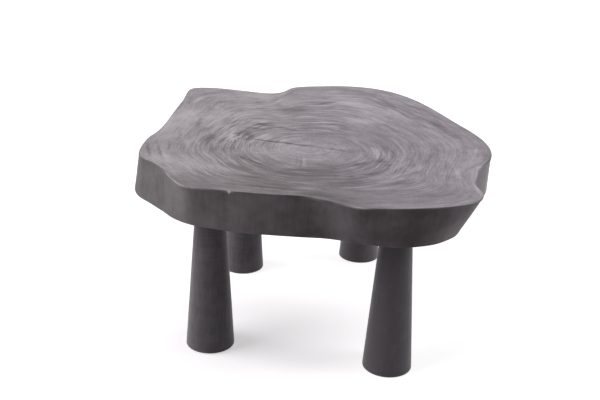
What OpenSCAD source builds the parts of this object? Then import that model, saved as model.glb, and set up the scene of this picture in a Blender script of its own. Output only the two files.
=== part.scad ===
// Live edge coffee table
// One thick cross-cut slab of stained wood stands on four turned legs that flare to the foot.
// Each leg screws up into a round steel plate that is let into the underside of the slab.
// The origin is on the floor, under the middle of the slab's outer box. +Z is up, the front is -Y.

/* [Table top] */
// Width of the slab, from its left extreme to its right extreme
slab_width = 826; // [700:1:1000]
// Depth of the slab, from its front extreme to its back extreme
slab_depth = 918; // [780:1:1100]
// Thickness of the slab
slab_thickness = 92; // [70:1:130]
// Radius of the sanded edge round the top face
top_ease = 2; // [1:0.5:6]
// Radius of the worn edge round the underside
underside_ease = 4; // [2:0.5:10]

/* [Drying checks] */
// Length of the natural crack in the top face
check_length = 146; // [60:1:200]
// Width of the crack at its middle
check_width = 4; // [1:0.5:5]
// Depth of the crack
check_depth = 9; // [3:1:20]
// Turn of both cracks in the plan, in degrees from the slab's width
check_turn = -16; // [-60:1:60]
// Middle of the crack, to the left of the slab's middle
check_left = 79; // [0:1:150]
// Middle of the crack, in front of the slab's middle
check_front = 69; // [0:1:150]
// Length of the finer crack that goes on in the same line, towards the right
fine_check_length = 70; // [30:1:100]
// Width of the finer crack at its middle
fine_check_width = 2; // [1:0.5:5]
// Depth of the finer crack
fine_check_depth = 4; // [2:1:20]
// Sound wood between the two cracks
check_gap = 36; // [10:1:60]

/* [Legs] */
// Height of the underside of the slab above the floor
underside_height = 358; // [250:1:450]
// Diameter of a leg at its foot
foot_diameter = 113; // [95:1:140]
// Diameter of a leg where it meets the slab
leg_top_diameter = 67; // [64:1:85]
// Radius of the eased edge round each foot
foot_ease = 4; // [1:0.5:8]
// Radius of the eased edge round the top of each leg
leg_top_ease = 1.5; // [0.5:0.5:2]

/* [Leg places] */
// Front left leg, from the left extreme of the slab to the leg's axis
front_left_from_side = 182; // [165:1:230]
// Front left leg, from the front extreme of the slab to the leg's axis
front_left_from_end = 229; // [200:1:270]
// Front right leg, from the right extreme of the slab to the leg's axis
front_right_from_side = 232; // [180:1:270]
// Front right leg, from the front extreme of the slab to the leg's axis
front_right_from_end = 154; // [130:1:200]
// Back left leg, from the left extreme of the slab to the leg's axis
back_left_from_side = 230; // [180:1:260]
// Back left leg, from the back extreme of the slab to the leg's axis
back_left_from_end = 268; // [220:1:300]
// Back right leg, from the right extreme of the slab to the leg's axis
back_right_from_side = 271; // [230:1:300]
// Back right leg, from the back extreme of the slab to the leg's axis
back_right_from_end = 172; // [130:1:210]

/* [Leg fixings] */
// Diameter of the steel plate let into the slab over each leg
plate_diameter = 58; // [52:1:60]
// Thickness of the plate
plate_thickness = 3; // [2:0.5:5]
// Diameter of the threaded boss welded on the plate
boss_diameter = 20; // [17:1:22]
// Height of the boss above the plate
boss_height = 14; // [8:1:20]
// Diameter of the hanger bolt that joins leg and plate
bolt_diameter = 12; // [8:1:14]
// Length of the bolt's wood thread, screwed down into the leg
bolt_in_leg = 60; // [40:1:80]
// Length of the bolt's machine thread, standing up out of the leg
bolt_in_slab = 26; // [20:1:40]
// Number of wood screws that hold each plate
screws_per_plate = 4; // [3:1:6]
// Diameter of the circle that the plate screws lie on
screw_circle = 42; // [36:1:44]
// Shank diameter of the plate screws
screw_diameter = 4.5; // [3:0.5:5]
// Head diameter of the plate screws
screw_head_diameter = 9; // [7:0.5:10]
// Length of the plate screws
screw_length = 30; // [20:1:45]

/* [Foot glides] */
// Diameter of the glide let into the bottom of each foot
glide_diameter = 60; // [40:1:76]
// Thickness of the glide
glide_thickness = 6; // [5:0.5:10]
// How far the glide stands out below the foot
glide_proud = 2; // [1:0.5:4]
// Width of the bevel round the glide's sole
glide_bevel = 1; // [0.5:0.5:1.5]
// Shank diameter of the screw through each glide
glide_screw_diameter = 4; // [3:0.5:5]
// Head diameter of the screw through each glide
glide_screw_head = 8; // [7:0.5:10]
// Length of the screw through each glide
glide_screw_length = 25; // [16:1:35]

/* [Clearances] */
// Gap round the plate and its boss in the slab
recess_gap = 0.5; // [0.2:0.1:1]
// Gap round bolts, screws and glides in their holes
fit_gap = 0.1; // [0.05:0.05:0.3]
// Depth of each blind hole past the end of what it holds
end_gap = 1; // [0.5:0.5:3]

/* [Hidden] */

// Points of the live edge, going round from the right by the back, the left and the front.
// Each is a bearing in degrees, the radius at the top face and the radius at the underside.
LIVE_EDGE = [
  // right side and the long shoulder at the back right
  [0, 400, 399], [10, 387, 384], [20, 379, 378], [30, 384, 384], [40, 401, 398],
  [50, 427, 421], [58, 450, 443], [65, 467, 461], [72, 474, 469], [80, 468, 464],
  // step and hollow in the middle of the back
  [88, 452, 448], [96, 439, 434], [100, 425, 421], [103, 397, 398], [107, 379, 384],
  [112, 385, 388], [118, 420, 418],
  // pointed lobe at the back left
  [125, 476, 468], [130, 508, 495], [133, 512, 497], [136, 495, 483], [144, 443, 437],
  // left side, which spreads towards the underside
  [154, 407, 407], [164, 386, 391], [175, 379, 387], [183, 387, 397], [190, 406, 419],
  [200, 431, 445], [207, 444, 454], [214, 433, 447], [221, 437, 446],
  // rounded corner and the shallow hollow along the front
  [227, 451, 452], [233, 463, 451], [239, 447, 440], [248, 426, 426], [256, 414, 414],
  [265, 407, 408], [272, 425, 409], [277, 448, 420], [281, 465, 434],
  // large lobe at the front right, deeply undercut at its corner
  [290, 484, 470], [299, 503, 483], [306, 516, 476], [310, 513, 464], [314, 492, 446],
  // notch that folds the right side in
  [318, 450, 422], [323, 431, 409], [332, 409, 401], [341, 415, 411], [350, 411, 410]
];
// Number of straight stretches between two points of the live edge
edge_steps = 6;
// Turn between two rings of an eased edge, in degrees
ease_turn = 30;
// Turn between two points of an arc in a turned profile, in degrees
profile_turn = 15;
// How far a drying check wanders to either side, and the share of its half length between two points
check_bend = 2;
fine_check_bend = 1;
check_step = 0.25;
// How far a cutting shape runs past the face that it opens
overcut = 1;
// Chamfer on the upper end of the hanger bolt
bolt_chamfer = 1;
// Length of the bolt's point and diameter of its tip
bolt_point = 9;
bolt_tip = 4;
// Length of a wood screw's point and diameter of its tip
screw_point = 6;
screw_tip = 1;
// Angle at which the first screw of each plate stands
first_screw = 45;
// Depth of the glide screw's head inside the glide's sole
glide_screw_sunk = 1;
$fn = 96;

foot_radius = foot_diameter / 2;
leg_top_radius = leg_top_diameter / 2;
plate_top = underside_height + plate_thickness;
bolt_top = underside_height + bolt_in_slab;
bolt_bottom = underside_height - bolt_in_leg;
screw_head_height = (screw_head_diameter - screw_diameter) / 2;
glide_screw_head_height = (glide_screw_head - glide_screw_diameter) / 2;

// Places of the four leg axes
FRONT_LEFT = [front_left_from_side - slab_width / 2, front_left_from_end - slab_depth / 2];
FRONT_RIGHT = [slab_width / 2 - front_right_from_side, front_right_from_end - slab_depth / 2];
BACK_LEFT = [back_left_from_side - slab_width / 2, slab_depth / 2 - back_left_from_end];
BACK_RIGHT = [slab_width / 2 - back_right_from_side, slab_depth / 2 - back_right_from_end];
LEG_PLACES = [FRONT_LEFT, FRONT_RIGHT, BACK_LEFT, BACK_RIGHT];

slab_colour = [0.50, 0.48, 0.50];
leg_colour = [0.27, 0.26, 0.27];
steel_colour = [0.62, 0.63, 0.65];
glide_colour = [0.07, 0.07, 0.075];

// Smooth curve through p1 and p2, with p0 and p3 as the points before and after
function curve_point(p0, p1, p2, p3, t) =
  (2 * p1 + (p2 - p0) * t + (2 * p0 - 5 * p1 + 4 * p2 - p3) * t * t
    + (3 * p1 - p0 - 3 * p2 + p3) * t * t * t) / 2;

// Closed smooth loop through a list of points
function smooth_loop(points) =
  let (n = len(points))
  [for (i = [0:n - 1], s = [0:edge_steps - 1])
    curve_point(points[(i + n - 1) % n], points[i],
      points[(i + 1) % n], points[(i + 2) % n], s / edge_steps)];

// Loop of the live edge; column 1 is the top face and column 2 the underside
function edge_loop(column) =
  smooth_loop([for (p = LIVE_EDGE) [p[column] * cos(p[0]), p[column] * sin(p[0])]]);

raw_top = edge_loop(1);
raw_underside = edge_loop(2);
raw_all = concat(raw_top, raw_underside);
raw_low = [min([for (p = raw_all) p.x]), min([for (p = raw_all) p.y])];
raw_high = [max([for (p = raw_all) p.x]), max([for (p = raw_all) p.y])];
raw_middle = (raw_low + raw_high) / 2;

// Moves and stretches a point so that the slab has its stated width and depth, centred on the origin
function fitted(p) = [
  (p.x - raw_middle.x) * slab_width / (raw_high.x - raw_low.x),
  (p.y - raw_middle.y) * slab_depth / (raw_high.y - raw_low.y)
];
top_loop = [for (p = raw_top) fitted(p)];
underside_loop = [for (p = raw_underside) fitted(p)];
heart = fitted([0, 0]);

// Direction in the plan that points out of a loop at one of its points
function outward(loop, i) =
  let (n = len(loop), along = loop[(i + 1) % n] - loop[(i + n - 1) % n])
  [along.y, -along.x] / norm(along);

// One ring of the slab at height z above its underside, drawn in by inset;
// the side runs straight from one eased edge to the other
function slab_ring(z, inset) =
  let (side_height = slab_thickness - underside_ease - top_ease,
       share = min(1, max(0, (z - underside_ease) / side_height)),
       loop = [for (i = [0:len(top_loop) - 1]) underside_loop[i] * (1 - share) + top_loop[i] * share])
  [for (i = [0:len(loop) - 1])
    let (p = loop[i] - outward(loop, i) * inset)
    [p.x, p.y, underside_height + z]];

// Heights and insets of the rings, from the underside up round both eased edges
ring_levels = concat(
  [for (a = [0:ease_turn:90]) [underside_ease * (1 - cos(a)), underside_ease * (1 - sin(a))]],
  [for (a = [0:ease_turn:90]) [slab_thickness - top_ease * (1 - sin(a)), top_ease * (1 - cos(a))]]
);

// Closed solid through rings of equal count, with a fan of faces round the heart at each end
module lofted(rings) {
  n = len(rings[0]);
  last = (len(rings) - 1) * n;
  points = concat(
    [for (ring = rings, p = ring) p],
    [[heart.x, heart.y, rings[0][0].z], [heart.x, heart.y, rings[len(rings) - 1][0].z]]
  );
  sides = [for (r = [0:len(rings) - 2], i = [0:n - 1], half = [0:1])
    let (a = r * n + i, b = r * n + (i + 1) % n)
    half == 0 ? [a, a + n, b + n] : [a, b + n, b]];
  bottom_cap = [for (i = [0:n - 1]) [len(points) - 2, i, (i + 1) % n]];
  top_cap = [for (i = [0:n - 1]) [len(points) - 1, last + (i + 1) % n, last + i]];
  polyhedron(points = points, faces = concat(sides, bottom_cap, top_cap));
}

// Places its children round the screw circle of one plate
module at_plate_screws() {
  for (k = [0:screws_per_plate - 1])
    rotate([0, 0, first_screw + k * 360 / screws_per_plate])
      translate([screw_circle / 2, 0, 0])
        children();
}

// Everything that is cut out of the slab above one leg
module slab_fixing_cuts() {
  translate([0, 0, underside_height - overcut])
    cylinder(d = plate_diameter + 2 * recess_gap, h = plate_thickness + overcut);
  translate([0, 0, plate_top - overcut])
    cylinder(d = boss_diameter + 2 * recess_gap, h = boss_height + end_gap + overcut);
  translate([0, 0, underside_height])
    cylinder(d = bolt_diameter + 2 * recess_gap, h = bolt_in_slab + end_gap);
  at_plate_screws()
    translate([0, 0, underside_height])
      cylinder(d = screw_diameter + 2 * fit_gap, h = screw_length + end_gap);
}

// Slender lens with a slow bend, open at the top face
module drying_check(length, width, depth, bend) {
  function wander(t) = bend * sin(180 * t);
  function half_width(t) = width / 2 * (1 - t * t);
  translate([0, 0, underside_height + slab_thickness - depth])
    linear_extrude(depth + overcut)
      polygon(concat(
        [for (t = [-1:check_step:1]) [t * length / 2, wander(t) - half_width(t)]],
        [for (t = [1 - check_step:-check_step:check_step - 1]) [t * length / 2, wander(t) + half_width(t)]]
      ));
}

// The long check and the finer one, end to end on one line across the heart of the slab
module drying_checks() {
  translate([-check_left, -check_front, 0])
    rotate([0, 0, check_turn]) {
      drying_check(check_length, check_width, check_depth, check_bend);
      translate([check_length / 2 + check_gap + fine_check_length / 2, 0, 0])
        drying_check(fine_check_length, fine_check_width, fine_check_depth, fine_check_bend);
    }
}

module slab_top() {
  color(slab_colour)
    difference() {
      lofted([for (level = ring_levels) slab_ring(level[0], level[1])]);
      drying_checks();
      for (place = LEG_PLACES)
        translate([place.x, place.y, 0])
          slab_fixing_cuts();
    }
}

// Outline of half a leg, turned about its axis
function leg_profile() = concat(
  [[0, glide_proud]],
  [for (a = [-90:profile_turn:0])
    [foot_radius - foot_ease * (1 - cos(a)), glide_proud + foot_ease * (1 + sin(a))]],
  [for (a = [0:profile_turn:90])
    [leg_top_radius - leg_top_ease * (1 - cos(a)), underside_height - leg_top_ease * (1 - sin(a))]],
  [[0, underside_height]]
);

module leg(place) {
  color(leg_colour)
    translate([place.x, place.y, 0])
      difference() {
        rotate_extrude()
          polygon(leg_profile());
        translate([0, 0, bolt_bottom - end_gap])
          cylinder(d = bolt_diameter + 2 * fit_gap, h = bolt_in_leg + end_gap + overcut);
        translate([0, 0, glide_proud - overcut])
          cylinder(d = glide_diameter + 2 * fit_gap, h = glide_thickness - glide_proud + overcut);
        translate([0, 0, glide_proud])
          cylinder(d = glide_screw_diameter + 2 * fit_gap,
                   h = glide_screw_sunk + glide_screw_length + end_gap - glide_proud);
      }
}

// Bolt with a pointed wood thread below and a chamfered machine thread above
module hanger_bolt(place) {
  r = bolt_diameter / 2;
  color(steel_colour)
    translate([place.x, place.y, 0])
      rotate_extrude()
        polygon([
          [0, bolt_bottom], [bolt_tip / 2, bolt_bottom], [r, bolt_bottom + bolt_point],
          [r, bolt_top - bolt_chamfer], [r - bolt_chamfer, bolt_top], [0, bolt_top]
        ]);
}

// Countersunk wood screw pointing up, with the flat of its head at height zero
module wood_screw(shank, head, head_height, length) {
  rotate_extrude()
    polygon([
      [0, 0], [head / 2, 0], [shank / 2, head_height],
      [shank / 2, length - screw_point], [screw_tip / 2, length], [0, length]
    ]);
}

module mounting_plate(place) {
  color(steel_colour)
    translate([place.x, place.y, 0])
      difference() {
        union() {
          translate([0, 0, underside_height])
            cylinder(d = plate_diameter, h = plate_thickness);
          translate([0, 0, underside_height])
            cylinder(d = boss_diameter, h = plate_thickness + boss_height);
        }
        translate([0, 0, underside_height - overcut])
          cylinder(d = bolt_diameter + 2 * fit_gap, h = plate_thickness + boss_height + 2 * overcut);
        at_plate_screws()
          translate([0, 0, underside_height - overcut])
            cylinder(d = screw_diameter + 2 * fit_gap, h = plate_thickness + 2 * overcut);
        at_plate_screws()
          translate([0, 0, underside_height])
            rotate_extrude()
              polygon([
                [0, 0], [screw_head_diameter / 2 + fit_gap, 0],
                [screw_diameter / 2 + fit_gap, screw_head_height], [0, screw_head_height]
              ]);
      }
}

module plate_screws(place) {
  color(steel_colour)
    translate([place.x, place.y, underside_height])
      at_plate_screws()
        wood_screw(screw_diameter, screw_head_diameter, screw_head_height, screw_length);
}

// Nylon disc with a bevelled sole and a sunk hole for its screw
module foot_glide(place) {
  r = glide_diameter / 2;
  hole_r = glide_screw_diameter / 2 + fit_gap;
  head_r = glide_screw_head / 2 + fit_gap;
  color(glide_colour)
    translate([place.x, place.y, 0])
      rotate_extrude()
        polygon([
          [head_r, 0], [r - glide_bevel, 0], [r, glide_bevel], [r, glide_thickness],
          [hole_r, glide_thickness], [hole_r, glide_screw_sunk + glide_screw_head_height],
          [head_r, glide_screw_sunk]
        ]);
}

module glide_screws() {
  color(steel_colour)
    for (place = LEG_PLACES)
      translate([place.x, place.y, glide_screw_sunk])
        wood_screw(glide_screw_diameter, glide_screw_head, glide_screw_head_height, glide_screw_length);
}

slab_top();
leg(FRONT_LEFT);  // leg_front_left
leg(FRONT_RIGHT);  // leg_front_right
leg(BACK_LEFT);  // leg_back_left
leg(BACK_RIGHT);  // leg_back_right
hanger_bolt(FRONT_LEFT);  // hanger_bolt_front_left
hanger_bolt(FRONT_RIGHT);  // hanger_bolt_front_right
hanger_bolt(BACK_LEFT);  // hanger_bolt_back_left
hanger_bolt(BACK_RIGHT);  // hanger_bolt_back_right
mounting_plate(FRONT_LEFT);  // mounting_plate_front_left
mounting_plate(FRONT_RIGHT);  // mounting_plate_front_right
mounting_plate(BACK_LEFT);  // mounting_plate_back_left
mounting_plate(BACK_RIGHT);  // mounting_plate_back_right
plate_screws(FRONT_LEFT);  // plate_screws_front_left
plate_screws(FRONT_RIGHT);  // plate_screws_front_right
plate_screws(BACK_LEFT);  // plate_screws_back_left
plate_screws(BACK_RIGHT);  // plate_screws_back_right
foot_glide(FRONT_LEFT);  // foot_glide_front_left
foot_glide(FRONT_RIGHT);  // foot_glide_front_right
foot_glide(BACK_LEFT);  // foot_glide_back_left
foot_glide(BACK_RIGHT);  // foot_glide_back_right
glide_screws();
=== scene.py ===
"""Live edge coffee table: a thick cross-cut slab on four separate turned legs.

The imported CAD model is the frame. Each CAD node is replaced here by a finer piece in the same place:
the slab with its growth rings, drying checks and live edge, the turned legs, and the threaded fixings.
Sizes in the classes are millimetres; meshes are written in metres.
"""

import itertools
import logging
import math
from collections.abc import Callable, Iterable, Sequence
from dataclasses import dataclass, field
from enum import Enum, IntEnum

import bpy
import mathutils
import numpy as np
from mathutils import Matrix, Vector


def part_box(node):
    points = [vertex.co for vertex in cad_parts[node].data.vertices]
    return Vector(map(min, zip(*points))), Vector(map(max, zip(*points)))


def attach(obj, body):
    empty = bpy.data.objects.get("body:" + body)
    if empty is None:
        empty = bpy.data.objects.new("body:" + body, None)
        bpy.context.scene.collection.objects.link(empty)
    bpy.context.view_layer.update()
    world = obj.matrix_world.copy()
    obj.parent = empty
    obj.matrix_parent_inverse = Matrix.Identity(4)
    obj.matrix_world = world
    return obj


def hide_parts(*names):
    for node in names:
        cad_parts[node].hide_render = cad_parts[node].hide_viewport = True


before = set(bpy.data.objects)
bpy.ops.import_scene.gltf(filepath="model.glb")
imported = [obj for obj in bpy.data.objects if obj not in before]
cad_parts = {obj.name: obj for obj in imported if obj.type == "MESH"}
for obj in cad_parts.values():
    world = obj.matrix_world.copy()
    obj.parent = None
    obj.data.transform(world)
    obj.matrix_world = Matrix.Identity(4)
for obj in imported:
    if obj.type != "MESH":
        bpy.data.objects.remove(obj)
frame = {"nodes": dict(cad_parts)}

log = logging.getLogger("coffee_table")

MM = 0.001                    # metres in a millimetre
BODY = "root"                 # the table has no moving part, so everything rides on one body
FULL_TURN = 2 * math.pi
QUARTER_TURN = math.pi / 2
WHITE = (1.0, 1.0, 1.0, 1.0)
M12_PITCH = 1.75              # rise of one turn of the machine thread on bolts and in bosses
WOOD_SHARP_DEG = 50.0         # edges of wood that turn by more than this are drawn sharp
METAL_SHARP_DEG = 35.0        # and those of the fixings and glides
EASE_RINGS = 6                # rings over an eased edge of wood


class Leg(Enum):
    """The four places of the legs, each by the end of its nodes' names."""

    FRONT_LEFT = "front_left"
    FRONT_RIGHT = "front_right"
    BACK_LEFT = "back_left"
    BACK_RIGHT = "back_right"

    def __init__(self, label: str) -> None:
        """Reads the leg's axis in plan from the CAD leg's box.

        Args:
            label: The end of the names of the nodes at this place.
        """
        low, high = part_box("leg_" + label)
        self.label = label
        self.axis = np.round([(low[i] + high[i]) / 2 / MM for i in (0, 1)], 1)


LEG_PAINTED_LIGHT = {Leg.BACK_RIGHT: 0.7, Leg.FRONT_RIGHT: -0.2}      # painted light and shade for each leg: the back right one paler, the front right one darker


class Slot(Enum):
    """Names of the material slots."""

    SLAB = "slab_wood"
    LEG = "leg_wood"
    STEEL = "zinc_steel"
    NYLON = "black_nylon"


class Lay(Enum):
    """How a coat changes the colour under it, by Blender's word for that."""

    COVERS = "MIX"
    TINTS = "MULTIPLY"


def linear(shade: str) -> tuple[float, float, float, float]:
    """Turns an sRGB colour into the linear one that Blender's sockets take.

    Args:
        shade: The colour as six hex digits after a hash.

    Returns:
        Red, green and blue from 0 to 1, and an alpha of 1.
    """
    parts = [int(shade[i:i + 2], 16) / 255 for i in (1, 3, 5)]
    red, green, blue = (p / 12.92 if p <= 0.04045 else ((p + 0.055) / 1.055) ** 2.4 for p in parts)
    return red, green, blue, 1.0


def add_node(tree: bpy.types.NodeTree, kind: str, fields: dict | None = None,
             inputs: dict | None = None) -> bpy.types.Node:
    """Adds one node to a material or world.

    Args:
        tree: The node tree that gets the node.
        kind: The end of Blender's name for the node, after "ShaderNode".
        fields: The node's own settings by name.
        inputs: Its inputs by name or number; a socket is linked and anything else is set.

    Returns:
        The new node.
    """
    node = tree.nodes.new("ShaderNode" + kind)
    for name, value in (fields or {}).items():
        setattr(node, name, value)
    for name, value in (inputs or {}).items():
        if isinstance(value, bpy.types.NodeSocket):
            tree.links.new(value, node.inputs[name])
        else:
            node.inputs[name].default_value = value
    return node


def weighted_sum(tree: bpy.types.NodeTree, parts: Iterable[tuple[bpy.types.NodeSocket, float]],
                 start: object = 0.0) -> bpy.types.NodeSocket:
    """Adds up sockets, each times its weight.

    Args:
        tree: The material's node tree.
        parts: Each socket with its weight.
        start: The number or socket that the sum starts from.

    Returns:
        The socket with the sum.
    """
    for value, weight in parts:
        added = add_node(tree, "Math", {"operation": "MULTIPLY_ADD"}, {0: value, 1: weight, 2: start})
        start = added.outputs[0]
    return start


def seen_ray(tree: bpy.types.NodeTree) -> bpy.types.NodeSocket:
    """1 where sight, a reflection or a look through something ends, and 0 for light on things.

    Args:
        tree: The node tree of the paper or the world.

    Returns:
        The socket with the value.
    """
    path = add_node(tree, "LightPath")
    seen = path.outputs["Is Camera Ray"]
    for other in ("Is Glossy Ray", "Is Transmission Ray"):
        seen = add_node(tree, "Math", {"operation": "MAXIMUM"}, {0: seen, 1: path.outputs[other]}).outputs[0]
    return seen


@dataclass(frozen=True)
class Grain:
    """A noise stretched along the wood's own directions, and what it does to a finish.

    Args:
        steps: Millimetres for one step of the noise in each direction of what it follows.
        shade: Its weight in the shade, which runs from dark to pale.
        height: Its weight in the relief.
        detail: How many finer layers it has.
        low: Noise level that comes out as 0.
        high: Noise level that comes out as 1.
        follows: The mesh attribute that it follows.
        scaled_by: The mesh attribute that its weight in the shade is multiplied by, if any.
    """

    steps: tuple[float, float, float]
    shade: float = 0.0
    height: float = 0.0
    detail: float = 2.0
    low: float = 0.3
    high: float = 0.7
    follows: str = "place"
    scaled_by: str = ""

    def draw(self, tree: bpy.types.NodeTree) -> bpy.types.NodeSocket:
        """Draws the noise.

        Args:
            tree: The material's node tree.

        Returns:
            The socket with the value from 0 to 1.
        """
        place = add_node(tree, "Attribute", {"attribute_name": self.follows})
        scaled = add_node(tree, "VectorMath", {"operation": "MULTIPLY"},
                          {0: place.outputs["Vector"], 1: tuple(1 / step for step in self.steps)})
        noise = add_node(tree, "TexNoise", inputs={"Vector": scaled.outputs[0], "Scale": 1.0,
                                                   "Detail": self.detail, "Roughness": 0.55})
        return add_node(tree, "MapRange", inputs={0: noise.outputs[0], 1: self.low, 2: self.high}).outputs[0]


@dataclass(frozen=True)
class Coat:
    """A colour laid over a finish.

    Args:
        where: The mesh attribute that is 1 where the coat lies.
        colour: Its colour.
        lay: How it changes the colour under it.
    """

    where: str
    colour: str
    lay: Lay = Lay.COVERS


@dataclass(frozen=True)
class Finish:
    """What every finish shares: what it is made of, and how a material is made from that.

    Args:
        name: The material's name.
        roughness: Its roughness.
        shades: The colours it runs through, each with the shade where it is pure.
        grains: The noises that make up the shade and the relief.
        start: The shade before any grain is added.
        levels: Mesh attributes that are added to the shade, each with its weight.
        coats: What lies over the shaded wood, the lowest first.
        relief_mm: Depth of the relief.
        shine: How much rougher it is at a shade of 0 and of 1.
        ior: Its index of refraction.
        specular: How strongly it mirrors.
        sheen: How strongly its fibres catch light from the side.
        metallic: 1 for a metal.
    """

    name: str
    roughness: float
    shades: tuple[tuple[float, str], ...]
    grains: tuple[Grain, ...]
    start: float = 0.0
    levels: tuple[tuple[str, float], ...] = ()
    coats: tuple[Coat, ...] = ()
    relief_mm: float = 0.0
    shine: tuple[float, float] = (0.0, 0.0)
    ior: float = 1.5
    specular: float = 0.5
    sheen: float = 0.0
    metallic: float = 0.0

    def material(self) -> bpy.types.Material:
        """Makes the material.

        Returns:
            A new material with this finish's pattern.
        """
        made = bpy.data.materials.new(self.name)
        made.use_nodes = True
        tree = made.node_tree
        tree.nodes.clear()
        drawn = [grain.draw(tree) for grain in self.grains]
        shade = self.shade(tree, drawn)
        look = {"Base Color": self.colour(tree, shade), "Roughness": self.roughness, "IOR": self.ior,
                "Specular IOR Level": self.specular, "Sheen Weight": self.sheen, "Metallic": self.metallic}
        if any(self.shine):
            dark, pale = (self.roughness + more for more in self.shine)
            look["Roughness"] = add_node(tree, "MapRange", inputs={0: shade, 3: dark, 4: pale}).outputs[0]
        if self.relief_mm:
            height = weighted_sum(tree, [(d, g.height) for d, g in zip(drawn, self.grains) if g.height])
            look["Normal"] = add_node(tree, "Bump", inputs={
                "Height": height, "Distance": self.relief_mm * MM, "Strength": 1.0}).outputs[0]
        shader = add_node(tree, "BsdfPrincipled", inputs=look)
        add_node(tree, "OutputMaterial", inputs={"Surface": self.surface(tree, shader.outputs[0])})
        return made

    def shade(self, tree: bpy.types.NodeTree, drawn: list[bpy.types.NodeSocket]) -> bpy.types.NodeSocket:
        """Adds up what makes the finish darker or paler.

        Args:
            tree: The material's node tree.
            drawn: The grains' values.

        Returns:
            The socket with the shade, about 0 to 1.
        """
        names = {name for name, _ in self.levels} | {grain.scaled_by for grain in self.grains} - {""}
        level = {name: add_node(tree, "Attribute", {"attribute_name": name}).outputs["Fac"]
                 for name in sorted(names)}
        shade = weighted_sum(tree, [(level[name], weight) for name, weight in self.levels], self.start)
        for name in sorted({grain.scaled_by for grain in self.grains}):
            own = weighted_sum(tree, [(d, g.shade) for d, g in zip(drawn, self.grains)
                                      if g.scaled_by == name and g.shade])
            shade = weighted_sum(tree, [(own, level.get(name, 1.0))], shade)
        return shade

    def colour(self, tree: bpy.types.NodeTree, shade: bpy.types.NodeSocket) -> bpy.types.NodeSocket:
        """Turns the shade into a colour and lays the coats over it.

        Args:
            tree: The material's node tree.
            shade: The socket with the shade.

        Returns:
            The socket with the colour.
        """
        (low, first), *others = self.shades
        colour: object = linear(first)
        layers = []
        for high, later in others:
            share = add_node(tree, "MapRange", inputs={0: shade, 1: low, 2: high}).outputs[0]
            layers.append((share, later, Lay.COVERS))
            low = high
        for coat in self.coats:
            where = add_node(tree, "Attribute", {"attribute_name": coat.where}).outputs["Fac"]
            layers.append((where, coat.colour, coat.lay))
        for share, later, lay in layers:
            colour = add_node(tree, "Mix", {"data_type": "RGBA", "blend_type": lay.value},
                              {0: share, 6: colour, 7: linear(later)}).outputs[2]
        return colour

    def surface(self, tree: bpy.types.NodeTree, shader: bpy.types.NodeSocket) -> bpy.types.NodeSocket:
        """What the material's output gets: the shader itself, unless a finish adds to it."""
        return shader


@dataclass(frozen=True)
class BrushedEndGrain(Finish):
    """Cross-cut hardwood, wire-brushed along its rings and stained charcoal under matt lacquer.

    The eye gets a mid grey face with fine concentric rings: brushing takes the soft early wood
    away, stain gathers in the grooves, and the ridges left between them are rubbed paler. The
    coats are lacquer that yellowed a touch over the left half, painted shade that darkens the
    checks the deeper they go, and bare wood where the edge was knocked.
    """

    name: str = "brushed charcoal end grain"
    roughness: float = 0.50
    shades: tuple[tuple[float, str], ...] = ((0.0, "#41393d"), (0.5, "#716970"), (1.0, "#9d959e"))
    grains: tuple[Grain, ...] = (
        # ring lines, 5 to 7 mm from one to the next
        Grain((3.2, 80.0, 80.0), 0.34, 0.5, 3.0, 0.34, 0.66, "grain", "swing"),
        # groups of years that took the stain alike
        Grain((8.0, 110.0, 110.0), 0.36, 0.0, 2.0, 0.35, 0.65, "grain", "swing"),
        # bristle marks; finer ones would not show and are left out
        Grain((1.5, 22.0, 22.0), 0.24, 0.3, follows="grain", scaled_by="swing"),
        # single dark grooves where the brush went deep
        Grain((4.2, 46.0, 46.0), -0.34, 0.0, 2.0, 0.57, 0.70, "grain", "swing"),
        # rays and fine heart checks, in radians: 5 mm apart at 100 mm from the heart
        Grain((0.05, 0.05, 60.0), 0.5, 0.2, follows="rays", scaled_by="core"),
        # short flecks near the heart, which lie left to right
        Grain((30.0, 6.0, 6.0), 0.7, scaled_by="core"),
        # mottle, and clouds along the rings
        Grain((6.0, 6.0, 6.0), 0.14),
        Grain((40.0, 45.0, 45.0), 0.24, 0.0, 3.0, follows="grain"))
    start: float = 0.30
    levels: tuple[tuple[str, float], ...] = (("swing", -0.43), ("tone", 0.5))
    # the check coat is painted shade, which darkens the checks' walls with depth
    coats: tuple[Coat, ...] = (
        Coat("aged", "#fffffa", Lay.TINTS), Coat("check", "#191719"), Coat("chip", "#e6d8d0"))
    relief_mm: float = 0.22
    shine: tuple[float, float] = (0.1, -0.06)


@dataclass(frozen=True)
class StainedLiveEdge(Finish):
    """The outer surface of the trunk, barked, sanded smooth and stained almost black.

    The eye gets a dark, quiet face with soft upright streaks where the grain runs down the trunk,
    a few paler clouds, a rubbed line along the top arris that is partly painted highlight, painted
    highlights on the lips of the notch, and bare wood at the knocks. Its tone also carries painted
    light, most on the left end and the notch wall.
    """

    name: str = "stained live edge"
    roughness: float = 0.55
    shades: tuple[tuple[float, str], ...] = ((0.1, "#423e40"), (0.5, "#5d585a"), (0.95, "#746f71"))
    grains: tuple[Grain, ...] = (
        Grain((9.0, 9.0, 70.0), 0.13, 0.6),       # grain bundles on the trunk's surface
        Grain((1.4, 1.4, 35.0), 0.06, 0.4),       # fibres
        Grain((46.0, 46.0, 40.0), 0.32))          # clouds
    start: float = 0.205
    levels: tuple[tuple[str, float], ...] = (("tone", 0.6),)
    coats: tuple[Coat, ...] = (Coat("wear", "#c4bec1"), Coat("chip", "#e6d8d0"))
    relief_mm: float = 0.25
    specular: float = 0.12


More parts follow.
